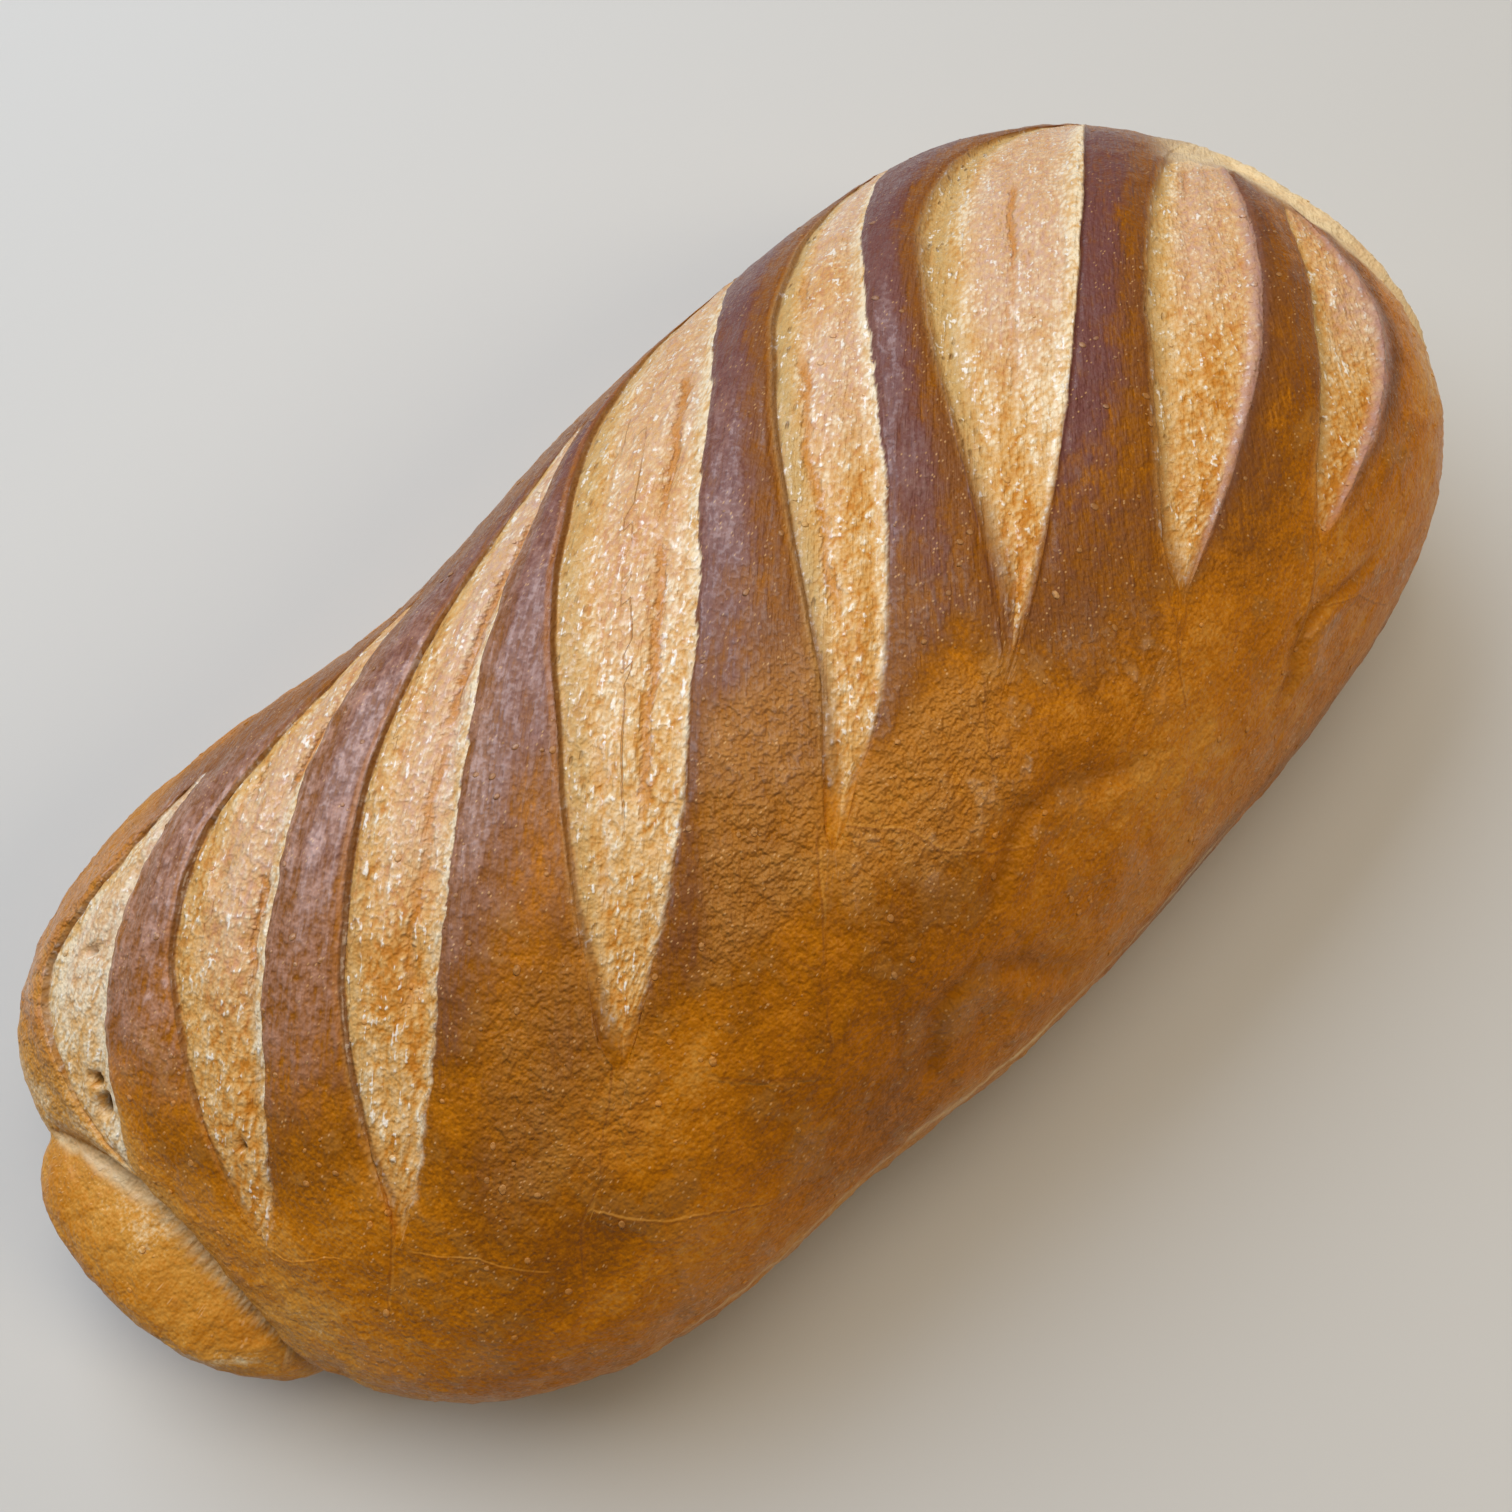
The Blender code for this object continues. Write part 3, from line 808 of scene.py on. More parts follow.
def blister_level(field):
    """How thickly the small blisters lie."""
    patchy = np.clip(0.6 + 0.6 * patches(field.across, field.down, 0.016, 21), 0, 1)
    upper = 1 - between(*BLISTER_FREE_ANGLES, np.abs(field.angle))
    return patchy * (1 - 0.65 * field.open) * upper


def leathery_level(field):
    """Where the skin is torn and creased: on a few patches and at the tapering end."""
    ragged = field.angle + 2.5 * patches(field.across, field.down, 0.005, 41)
    level = LEATHERY_END * between(-0.190, -0.206, field.ring) * between(-62.0, -40.0, field.angle)
    for patch in LEATHERY:
        here = within(field.ring, *patch.rings) * within(ragged, *patch.angles)
        level = np.maximum(level, patch.strength * here)
    return level * (1 - field.open)


def plum_level(field):
    """Where the crust has its plum bloom: high on the strips, beside one of their slashes."""
    ring, angle, share = field.ring, field.angle, np.clip(field.strip, 0, 1)
    spotty = patches(field.across, field.down * 0.6, 0.009, 5)
    high = between(-12.0, 12.0, angle - np.interp(ring, PLUM_RINGS, PLUM_ANGLES) + 6 * spotty)
    high = high * np.interp(ring, PLUM_RINGS, PLUM_SHARES)
    beside = np.where(
        ring < PLUM_TURN, between(0.05, 0.55, share), 1 - between(0.40, 0.90, share)
    )
    beyond = between(-9.0, 5.0, angle - np.interp(ring, BACK_RINGS, BACK_ANGLES) + 4 * spotty)
    beyond = beyond + between(0.150, 0.168, ring) + between(-0.192, -0.204, ring)
    return high * beside * (1 - np.clip(beyond, 0, 1)) * (1 - field.open)


def sheen_level(field):
    """How brightly the top of the strips mirrors the window, through the coat and through a painted sheen
    colour.
    """
    level = np.interp(field.ring, SHEEN_RINGS, SHEEN_LEVELS)
    level = level * np.where(field.ring < PLUM_TURN, 1.0, plum_level(field))
    low = np.interp(field.ring, SHEEN_LOW_RINGS, SHEEN_LOW_ANGLES)
    return level * within(field.angle, low, low + 22, 18.0, 42.0)


def crest_levels(field):
    """The brown crest along the right edge of the last slashes, and the painted shade on the skin behind
    it.
    """
    reach = field.finish("crest") * field.side * field.depth
    crest = hump((field.edge - CREST_PLACE) / CREST_HALF_WIDTH)
    return reach * crest, reach * within(-field.edge, *SHADE_PLACES)


def band_levels(field):
    """Tone of the open slashes from 0, orange, to 1, cream, and how olive and how rosy they are."""
    place, share = field.place, field.share
    mottled = patches(field.across * 1.5, field.down * 0.6, 0.004, 11)
    broad = patches(field.across, field.down * 0.5, 0.011, 12)
    ridge = field.finish("crest") * between(*RIDGE_PLACES, place)
    tone = np.interp(place, TONE_PLACES, TONES) + 0.14 * mottled + 0.14 * broad
    tone = tone - 0.12 * (1 - between(0.10, 0.40, share)) + RIDGE_TONE * ridge
    tone = tone + FIRST_TONE * (field.number == 0)
    olive = field.finish("olive") * between(*OLIVE_PLACES, place) * between(0.0, 0.2, share)
    rosy = within(place, *ROSY_PLACES) * between(0.30, 0.55, share)
    rosy = np.maximum(rosy * np.clip(0.75 + 0.5 * broad, 0, 1), ridge)
    return np.clip(tone, 0, 1), olive, rosy


# ---------------------------------------------------------------------------------------------------------
# Node trees, written as Python expressions.


def operation(name):
    return lambda self, *others: self.math(name, *others)


class Value:
    """A number socket. Arithmetic on it adds Math nodes to its tree."""

    def __init__(self, nodes, socket):
        self.nodes = nodes
        self.socket = socket

    def math(self, name, *others):
        values = dict(enumerate((self, *others)))
        made = self.nodes.make("ShaderNodeMath", {"operation": name}, values)
        return Value(self.nodes, made.outputs[0])

    __add__ = __radd__ = operation("ADD")
    __mul__ = __rmul__ = operation("MULTIPLY")
    __sub__ = operation("SUBTRACT")
    __truediv__ = operation("DIVIDE")
    __pow__ = operation("POWER")
    abs = operation("ABSOLUTE")
    most = operation("MAXIMUM")
    least = operation("MINIMUM")

    def __rsub__(self, other):
        return self.nodes.constant(other) - self

    def __rtruediv__(self, other):
        return self.nodes.constant(other) / self

    def rise(self, low, high):
        """0 below low, 1 above high and smooth between."""
        settings = {"interpolation_type": "SMOOTHSTEP"}
        made = self.nodes.make("ShaderNodeMapRange", settings, {0: self, 1: low, 2: high})
        return Value(self.nodes, made.outputs[0])


class Nodes:
    """Adds nodes to one tree. Settings are set first, then the values or links of the sockets.

    A colour is given as three numbers.
    """

    def __init__(self, tree):
        self.tree = tree

    def feed(self, socket, value):
        if isinstance(value, Value):
            value = value.socket
        if isinstance(value, bpy.types.NodeSocket):
            self.tree.links.new(value, socket)
        elif socket.type == "RGBA":
            socket.default_value = (*value, 1.0)
        else:
            socket.default_value = value

    def make(self, kind, settings, inputs):
        node = self.tree.nodes.new(kind)
        for name, setting in settings.items():
            if name == "stops":
                self.set_stops(node.color_ramp, setting)
            else:
                setattr(node, name, setting)
        for name, value in inputs.items():
            self.feed(node.inputs[name], value)
        return node

    @staticmethod
    def set_stops(ramp, stops):
        while len(ramp.elements) > 1:
            ramp.elements.remove(ramp.elements[-1])
        for index, (place, colour) in enumerate(stops):
            element = ramp.elements[0] if index == 0 else ramp.elements.new(place)
            element.position = place
            element.color = (*colour, 1.0)

    def constant(self, number):
        made = self.make("ShaderNodeValue", {}, {})
        made.outputs[0].default_value = number
        return Value(self, made.outputs[0])

    def attribute(self, name, part="Fac"):
        """A number or vector kept on the mesh, in a material."""
        made = self.make("ShaderNodeAttribute", {"attribute_name": name}, {})
        return Value(self, made.outputs[part])

    def named(self, name, kind="FLOAT"):
        """A number or vector kept on the mesh, in a geometry tree."""
        made = self.make("GeometryNodeInputNamedAttribute", {"data_type": kind}, {"Name": name})
        return Value(self, made.outputs["Attribute"])

    def stretch(self, vector, scale):
        made = self.make("ShaderNodeVectorMath", {"operation": "MULTIPLY"}, {0: vector, 1: scale})
        return made.outputs[0]

    def noise(self, vector, scale, detail, roughness, distortion=0.0, dimensions="3D"):
        """Noise on both sides of 0."""
        inputs = {
            "Vector": self.stretch(vector, scale),
            "Scale": 1.0,
            "Detail": detail,
            "Roughness": roughness,
            "Distortion": distortion,
        }
        made = self.make("ShaderNodeTexNoise", {"noise_dimensions": dimensions}, inputs)
        return Value(self, made.outputs[0]) - 0.5

    def flat_noise(self, vector, scale, detail, roughness):
        return self.noise(vector, (*scale, 1.0), detail, roughness, dimensions="2D")

    def flat_cells(self, vector, scale):
        inputs = {"Vector": self.stretch(vector, (*scale, 1.0)), "Scale": 1.0}
        made = self.make("ShaderNodeTexVoronoi", {"voronoi_dimensions": "2D"}, inputs)
        return Value(self, made.outputs["Distance"])

    def ramp(self, value, stops):
        made = self.make("ShaderNodeValToRGB", {"stops": stops}, {0: value})
        return made.outputs["Color"]

    def mix(self, share, first, second):
        made = self.make("ShaderNodeMix", {"data_type": "RGBA"}, {0: share, 6: first, 7: second})
        return made.outputs[2]

    def lay(self, colour, *layers):
        """Lays colours over a first one, each with its share."""
        for share, over in layers:
            colour = self.mix(share, colour, over)
        return colour


# ---------------------------------------------------------------------------------------------------------
# Settings a user would change.


def colour_property(name, words, colour):
    return bpy.props.FloatVectorProperty(
        name=name, description=words, default=colour, size=3, min=0.0, max=1.0, subtype="COLOR"
    )


def length_property(name, words, length):
    return bpy.props.FloatProperty(
        name=name,
        description=words,
        default=length,
        min=0.0,
        precision=5,
        subtype="DISTANCE",
        unit="LENGTH",
    )


def power_property(name, words, power):
    return bpy.props.FloatProperty(name=name, description=words, default=power, unit="POWER")


def share_property(name, words, share):
    return bpy.props.FloatProperty(
        name=name, description=words, default=share, min=0.0, max=1.0, subtype="FACTOR"
    )


class BloomerSurface(bpy.types.PropertyGroup):
    ragged: length_property("Ragged edges", "How far the edges of the slashes wander", 0.0009)
    streaks: length_property("Streaks", "Height of the stretch marks in the open slashes", 0.00035)
    lumps: length_property("Lumps", "Height of the lumps in the open slashes", 0.00080)
    wrinkles: length_property("Wrinkles", "Height of the wrinkles along the strips", 0.00026)
    leather: length_property("Leather", "Height of the creases on the front side", 0.00095)
    swells: length_property("Swells", "Height of the broad swells of the crust", 0.0016)
    blister_small: length_property("Smallest blister", "Radius of the smallest blisters", 0.00014)
    blister_large: length_property("Largest blister", "Radius of the largest blisters", 0.00070)
    blister_rise: share_property("Blister rise", "Height of a blister as a share of its radius", 0.30)
    blisters: bpy.props.FloatProperty(
        name="Blisters", description="How many blisters lie on a square metre", default=36000, min=0
    )


class BloomerColours(bpy.types.PropertyGroup):
    plum: colour_property("Plum", "The bloom on the darkest crust", (0.138, 0.047, 0.044))
    brown: colour_property("Brown", "Dark crust", (0.205, 0.070, 0.018))
    chestnut: colour_property("Chestnut", "Well baked crust", (0.275, 0.088, 0.004))
    amber: colour_property("Amber", "The crust of the sides", (0.490, 0.162, 0.004))
    gold: colour_property("Gold", "Lightly baked crust", (0.620, 0.290, 0.050))
    cream: colour_property("Cream", "Skin that was stretched late", (0.820, 0.620, 0.350))
    # Painted sheen: a pale mauve laid on the strips where they mirror the window.
    painted_sheen: colour_property("Mauve", "The dull bloom that the window lights", (0.590, 0.310, 0.205))
    # Painted shade: the dark skin just behind the crests.
    painted_shade: colour_property("Shade", "Skin behind the crests", (0.150, 0.050, 0.014))
    crest: colour_property("Crest", "The crests along the last slashes", (0.360, 0.190, 0.165))
    crumb_orange: colour_property("Crumb orange", "Dark streaks in the slashes", (0.540, 0.200, 0.022))
    crumb_gold: colour_property("Crumb gold", "The slashes' main tone", (0.660, 0.350, 0.100))
    crumb_tan: colour_property("Crumb tan", "The slashes' lighter tone", (0.720, 0.460, 0.210))
    crumb_cream: colour_property("Crumb cream", "The slashes' palest tone", (0.860, 0.690, 0.450))
    # Painted highlight: the bright glint specks of the slashes.
    crumb_painted_glint: colour_property("Crumb glint", "The slashes' bright specks", (0.940, 0.860, 0.740))
    crumb_rosy: colour_property("Crumb rosy", "The middle of the slashes", (0.610, 0.375, 0.265))
    crumb_olive: colour_property("Crumb olive", "The slashes' left grooves", (0.520, 0.340, 0.130))
    # Painted shade: the dark colour of the gap under a lifted lip, also laid in the pores.
    gap: colour_property("Gap", "The gap under a lifted lip", (0.165, 0.052, 0.008))
    leather: colour_property("Leather", "The torn and creased skin", (0.440, 0.180, 0.032))
    # Painted shade inside the deep pits.
    painted_pit_shade: colour_property("Hollow", "Inside the open pores", (0.130, 0.065, 0.014))
    glaze: colour_property("Glaze", "The tint of the egg wash's gloss", (1.000, 0.780, 0.520))
    underside: colour_property("Underside", "The pressed underside", (0.420, 0.230, 0.085))
    blister: colour_property("Blister", "Thin blistered skin", (0.740, 0.420, 0.170))


class BloomerStage(bpy.types.PropertyGroup):
    floor: colour_property("Floor", "The plain floor", (0.56, 0.54, 0.50))
    window: power_property("Window", "Strength of the large light from the back", 29.0)
    overhead: power_property("Overhead", "Strength of the light from above", 9.0)
    fill: power_property("Fill", "Strength of the weak warm light from the front", 6.0)
    air: share_property("Air", "Strength of the light from all round", 0.05)
    lens: bpy.props.FloatProperty(
        name="Lens", description="Focal length of the camera", default=36.1, unit="CAMERA"
    )


# ---------------------------------------------------------------------------------------------------------
# The crust.

BLISTER_SEED = 5
BLISTER_SKEW = 2.6
BLISTER_LENGTHS = (0.7, 1.5)  # of a blister, as shares of its width
DOME = {"Segments": 8, "Rings": 4, "Radius": 1.0}
GRAIN_STEP = 0.05  # keeps the grain of one slash apart from the next
PRESSED_HEIGHTS = (0.012, 0.001)  # the underside turns from rounded to pressed
GLAZE_ROUGHNESS = 0.26
GLAZE_MIRROR = 0.14
BUMP_HEIGHT = 0.001


def skin_faces(lines, around):
    """Quads between the mesh lines and a fan of triangles round each pole."""
    index = np.arange(lines * around).reshape(lines, around)
    after = np.roll(index, -1, axis=1)
    quads = np.stack([index[:-1], index[1:], after[1:], after[:-1]], axis=-1).reshape(-1, 4)
    first, last = lines * around, lines * around + 1
    start_fan = [(first, a, b) for a, b in zip(index[0], after[0])]
    end_fan = [(last, b, a) for a, b in zip(index[-1], after[-1])]
    return quads.tolist() + start_fan + end_fan


def skin_numbers(field, topside, under):
    """What the material and the geometry trees read at every point. Lengths here are in millimetres."""
    tone, olive, rosy = band_levels(field)
    crest, painted_shade = crest_levels(field)
    ribbon = base_ribbon(field) * topside
    return {
        "open": field.open,
        "edge": field.edge_shown * 1000,
        "side": field.side,
        "soft": field.soft * 1000,
        "gap": field.finish("gap") * field.depth,
        "notched": field.finish("notched"),
        "tone": tone,
        "olive": olive,
        "rosy": rosy,
        "bake": bake_level(field),
        "plum": plum_level(field),
        "sheen": sheen_level(field),
        "crest": crest,
        "painted_shade": painted_shade,
        "seam": field.seam * 1000,
        "seam_near": field.seam_near,
        "leathery": leathery_level(field),
        "painted_pit_shade": field.painted_pit_shade,
        "cream": np.maximum.reduce([field.lobe_cream, 0.9 * field.fold, ribbon]),
        "crack": field.crack * 1000,
        "crack_near": field.crack_near,
        "under": under,
        # Painted shade in the valleys of the folds and in the lobe's crease.
        "valley": np.maximum(field.valley, field.lobe_crease),
        "blisters": np.where(topside, blister_level(field), 0.0),
    }


def keep_numbers(mesh, name, kind, part, values):
    layer = mesh.attributes.new(name, kind, "POINT")
    layer.data.foreach_set(part, values.astype(np.float32).ravel())


def crust_mesh(ragged):
    """The closed skin with its relief, and the numbers that its material reads."""
    chords = Chords()
    top = np.linspace(-90, 90, TOP_STEPS + 1)
    under = np.linspace(90, 270, UNDER_STEPS + 2)[1:-1]
    turn = np.concatenate([top, under])
    level_angle = top_angle(turn)
    openings = [open_slash(index, level_angle, ragged) for index in range(len(SLASHES))]
    rings = mesh_lines(chords, level_angle, openings)
    turned = np.broadcast_to(turn, rings.shape)
    grid = skin(chords, rings, turned)
    poles = skin(chords, np.array([chords.first, chords.last]), np.zeros(2))

    field = Field(rings, np.broadcast_to(level_angle, rings.shape), openings)
    fold = field.fold_relief()
    relief = (field.slash_relief() + field.groove_relief()) * (1 - field.beyond_fold)
    relief = relief + fold + field.hole_relief() + field.line_relief()
    field.edge_shown -= FOLD_COVER * field.beyond_fold
    topside = np.abs(turned) <= 90
    relief = np.where(topside, relief, 0.0)
    points = (grid + vertex_normals(grid) * relief[..., None]).reshape(-1, 3)
    tuck_end(points, field)

    heights = points[:, 2].reshape(rings.shape)
    pressed = np.where(topside, 0.0, between(*PRESSED_HEIGHTS, heights))
    run = np.linalg.norm(np.diff(grid, axis=1, prepend=grid[:, :1]), axis=-1).cumsum(axis=1)
    run -= run[:, [TOP_STEPS // 2]]
    grain = np.stack([field.across, run, field.number * GRAIN_STEP], axis=-1).reshape(-1, 3)

    points = np.concatenate([points, poles])
    low, high = points.min(axis=0), points.max(axis=0)
    middle = (CAD_LOW + CAD_HIGH) / 2
    points += (middle.x - (low[0] + high[0]) / 2, middle.y - (low[1] + high[1]) / 2, CAD_LOW.z - low[2])

    mesh = bpy.data.meshes.new("bloomer")
    mesh.from_pydata(points.tolist(), [], skin_faces(*rings.shape))
    for name, values in skin_numbers(field, topside, pressed).items():
        values = np.concatenate([values.ravel(), values[[0, -1]].mean(axis=1)])
        keep_numbers(mesh, name, "FLOAT", "value", values)
    keep_numbers(mesh, "grain", "FLOAT_VECTOR", "vector", np.concatenate([grain, np.zeros((2, 3))]))
    mesh.shade_smooth()
    return mesh


def geometry_tree(name, sizes):
    """A new tree that is given geometry, sizes and a finish: its nodes and what it is given."""
    tree = bpy.data.node_groups.new(name, "GeometryNodeTree")
    tree.interface.new_socket("Made", in_out="OUTPUT", socket_type="NodeSocketGeometry")
    tree.interface.new_socket("Geometry", in_out="INPUT", socket_type="NodeSocketGeometry")
    for size in sizes:
        tree.interface.new_socket(size, in_out="INPUT", socket_type="NodeSocketFloat")
    tree.interface.new_socket("Finish", in_out="INPUT", socket_type="NodeSocketMaterial")
    nodes = Nodes(tree)
    given = nodes.make("NodeGroupInput", {}, {}).outputs
    return nodes, given, [Value(nodes, given[size]) for size in sizes]


def end_tree(nodes, geometry, finish):
    """Ends a tree with real geometry that has its finish."""
    real = nodes.make("GeometryNodeRealizeInstances", {}, {"Geometry": geometry}).outputs[0]
    painted = nodes.make("GeometryNodeSetMaterial", {}, {"Geometry": real, "Material": finish})
    nodes.make("NodeGroupOutput", {}, {"Made": painted.outputs[0]})
    return nodes.tree


def relief_tree():
    """Lays stretch marks, wrinkles and swells over the skin."""
    sizes = ("streaks", "lumps", "wrinkles", "leather", "swells")
    nodes, given, heights = geometry_tree("crust_relief", sizes)
    streak_height, lump_height, wrinkle_height, leather_height, swell_height = heights
    position = nodes.make("GeometryNodeInputPosition", {}, {}).outputs[0]
    normal = nodes.make("GeometryNodeInputNormal", {}, {}).outputs[0]
    grain = nodes.named("grain", "FLOAT_VECTOR")
    opened = nodes.named("open")

    streaks = nodes.noise(grain, (420, 60, 20), 3.0, 0.6)
    lumps = nodes.noise(grain, (210, 110, 20), 3.0, 0.6)
    wrinkles = nodes.noise(grain, (420, 70, 20), 2.0, 0.55, 0.6)
    leather = nodes.noise(position, (150, 150, 210), 3.0, 0.55, 0.8)
    swells = nodes.noise(position, [38] * 3, 2.0, 0.5)
    dark = nodes.named("bake").rise(0.5, 0.8)
    crumb = streaks * streak_height + lumps * lump_height
    crust = wrinkles * wrinkle_height * dark + leather * leather_height * (1 - dark * 0.6)
    height = (crumb * opened + crust * (1 - opened)) * 2.0 + swells * swell_height
    height = height * (1 - nodes.named("under"))
    offset = nodes.make("ShaderNodeVectorMath", {"operation": "SCALE"}, {0: normal, "Scale": height})
    inputs = {"Geometry": given["Geometry"], "Offset": offset.outputs[0]}
    moved = nodes.make("GeometryNodeSetPosition", {}, inputs)
    return end_tree(nodes, moved.outputs[0], given["Finish"])


def blister_tree():
    """Scatters low domes over the crust."""
    sizes = ("blisters", "blister_small", "blister_large", "blister_rise")
    nodes, given, (count, small, large, rise) = geometry_tree("crust_blisters", sizes)
    density = nodes.named("blisters") * count
    points = nodes.make(
        "GeometryNodeDistributePointsOnFaces",
        {"distribute_method": "RANDOM"},
        {"Mesh": given["Geometry"], "Density": density, "Seed": BLISTER_SEED},
    ).outputs

    def draw(low, high, seed):
        inputs = {2: low, 3: high, "Seed": seed}
        made = nodes.make("FunctionNodeRandomValue", {"data_type": "FLOAT"}, inputs)
        return Value(nodes, made.outputs[1])

    radius = small + (large - small) * draw(0.0, 1.0, BLISTER_SEED + 1) ** BLISTER_SKEW
    length = radius * draw(*BLISTER_LENGTHS, BLISTER_SEED + 2)
    scale = nodes.make("ShaderNodeCombineXYZ", {}, {"X": radius, "Y": length, "Z": radius * rise})
    dome = nodes.make("GeometryNodeMeshUVSphere", {}, DOME)
    inputs = {
        "Points": points["Points"],
        "Instance": dome.outputs["Mesh"],
        "Rotation": points["Rotation"],
        "Scale": scale.outputs[0],
    }
    placed = nodes.make("GeometryNodeInstanceOnPoints", {}, inputs).outputs[0]
    marked = nodes.make(
        "GeometryNodeStoreNamedAttribute",
        {"data_type": "FLOAT", "domain": "INSTANCE"},
        {"Geometry": placed, "Name": "blister", "Value": 1.0},
    )
    return end_tree(nodes, marked.outputs[0], given["Finish"])


def add_object(name, data):
    made = bpy.data.objects.new(name, data)
    bpy.context.scene.collection.objects.link(made)
    return made


def grow(source, tree, settings, finish, name):
    """Runs a geometry tree on an object and keeps the result as a plain mesh of its own."""
    modifier = source.modifiers.new(tree.name, "NODES")
    modifier.node_group = tree
    for item in tree.interface.items_tree:
        if item.socket_type == "NodeSocketFloat":
            modifier[item.identifier] = getattr(settings, item.name)
        elif item.socket_type == "NodeSocketMaterial":
            modifier[item.identifier] = finish
    bpy.context.view_layer.update()
    depsgraph = bpy.context.evaluated_depsgraph_get()
    mesh = bpy.data.meshes.new_from_object(source.evaluated_get(depsgraph), depsgraph=depsgraph)
    source.modifiers.remove(modifier)
    mesh.name = name
    mesh.shade_smooth()
    return add_object(name, mesh)


def new_material(name):
    """A new material, with its nodes and the inputs of its surface."""
    material = bpy.data.materials.new(name)
    material.use_nodes = True
    surface = material.node_tree.nodes["Principled BSDF"].inputs
    return material, Nodes(material.node_tree), surface


def crust_material(colours):
    """Egg-washed crust and the matt crumb of the open slashes."""
    material, nodes, surface = new_material("bloomer_crust")
    place = nodes.make("ShaderNodeTexCoord", {}, {}).outputs["Object"]
    grain = nodes.attribute("grain", "Vector")
    number = cache(nodes.attribute)

    speckle = nodes.noise(place, [1500] * 3, 2.0, 0.6)
    mottle = nodes.noise(place, [260] * 3, 2.0, 0.6)
    cloud = nodes.noise(place, [70] * 3, 2.0, 0.55)
    pebble = nodes.noise(place, [950] * 3, 1.0, 0.6)
    streak = nodes.flat_noise(grain, (1100, 150), 2.0, 0.62)
    long_streak = nodes.flat_noise(grain, (420, 60), 2.0, 0.6)
    notch = nodes.flat_noise(grain, (300, 420), 2.0, 0.7)
    cells = 0.42 - nodes.flat_cells(grain, (1000, 640))
    coarse = 0.42 - nodes.flat_cells(grain, (500, 300))
    granule = cells * (0.60 + mottle * 3.0) + coarse * 0.45 + pebble * 0.50
    # Pale specks: partly thin blister skin, partly painted glints.
    speck = 1 - nodes.flat_cells(grain, (620, 540)).rise(0.05, 0.16)
    speck = speck * (mottle + cloud * 0.5).rise(0.0, 0.12)

    side = number("side")
    edge = number("edge") + notch * number("notched") * (0.4 + side * 1.6)
    opened = (edge / (number("soft") + 0.05)).rise(-1.0, 1.0)

    top = number("bake").rise(0.60, 0.78)
    level = number("bake") + mottle * 0.34 + cloud * 0.42 + streak * top * 0.4 + speckle * 0.4
    baked = (
        (0.06, colours.cream),
        (0.24, colours.gold),
        (0.48, colours.amber),
        (0.68, colours.chestnut),
        (0.90, colours.brown),
    )
    bloom = (number("plum") + mottle * 0.9 + cloud * 0.6 + streak * 0.7).rise(0.15, 0.95)
    silky = (streak * 0.6 + pebble * 0.6 + mottle * 0.9).rise(-0.28, 0.34)
    # Glossy patches of the front: they carry real coat gloss and a painted highlight in gold.
    gloss_and_painted_highlight = (cloud + mottle * 0.6).rise(0.03, 0.14) * (1 - top)
    rim = (1 - (edge + 0.7).abs().rise(0.2, 0.7)) * number("gap") * (1 - side)
    crust = nodes.lay(
        nodes.ramp(level, baked),
        (bloom * 0.90, colours.plum),
        # Painted sheen of the window on the tops of the strips.
        (number("sheen") * silky * 0.66, colours.painted_sheen),
        (number("leathery") * (0.6 + mottle * 1.6), colours.leather),
        # Painted highlight on the glossy patches of the front.
        (gloss_and_painted_highlight * 0.22, colours.gold),
        # Painted shade on the skin behind the crests.
        (number("painted_shade") * (0.75 + mottle), colours.painted_shade),
        (rim * 0.35, colours.amber),
        (speck * 0.55, colours.blister),
    )

    tone = number("tone") + long_streak * 0.55 + granule * 0.95 + mottle * 0.5 + speckle * 0.5
    torn = (
        (0.05, colours.crumb_orange),
        (0.38, colours.crumb_gold),
        (0.66, colours.crumb_tan),
        (0.98, colours.crumb_cream),
    )
    # Painted glints: bright specks laid in the crumb colour.
    painted_glint = (pebble * 0.8 + streak * 0.8 + mottle * 0.5).rise(0.16, 0.30)
    seam = 1 - (number("seam") + notch * 2.0).abs().rise(0.30, 1.2)
    seam = seam * number("seam_near").rise(0.15, 0.6)
    crumb = nodes.lay(
        nodes.ramp(tone, torn),
        (number("rosy") * (0.55 - cells * 0.9), colours.crumb_rosy),
        (number("olive") * (0.8 + streak), colours.crumb_olive),
        (painted_glint * 0.8, colours.crumb_painted_glint),
        (seam * (0.75 + mottle), colours.crumb_orange),
    )

    # Painted shade in the gap under the left lip.
    gap = (1 - (edge - 0.10).abs().rise(0.18, 0.66)) * number("gap") * (1 - side)
    hair = number("crack") + mottle * 1.2
    thin = (1 - hair.abs().rise(0.05, 0.28)) * number("crack_near") * cloud.rise(-0.12, 0.10)
    parted = (1 - (hair - 0.40).abs().rise(0.05, 0.30)) * number("crack_near")
    # Painted shade inside the pores of the left grooves.
    pore = 1 - nodes.flat_cells(grain, (420, 170)).rise(0.06, 0.2)
    pores = pore * number("olive") * opened * (mottle + cloud).rise(-0.02, 0.10)
    colour = nodes.lay(
        crust,
        (opened, crumb),
        (number("crest") * (0.7 + streak), colours.crest),
        (number("cream") * (0.95 + mottle), colours.cream),
        (gap * 0.9, colours.gap),
        # Painted shade in the fold valleys and the lobe's crease.
        (number("valley") * 0.5, colours.chestnut),
        # Painted shade in the deep pits, darker the deeper they are.
        (number("painted_pit_shade").rise(0.25, 0.7), colours.painted_pit_shade),
        (thin * 0.45, colours.gold),
        (parted * 0.40, colours.brown),
        (number("blister") * 0.22, colours.blister),
        (number("under"), colours.underside),
        (pores * 0.6, colours.gap),
    )
    nodes.feed(surface["Base Color"], colour)

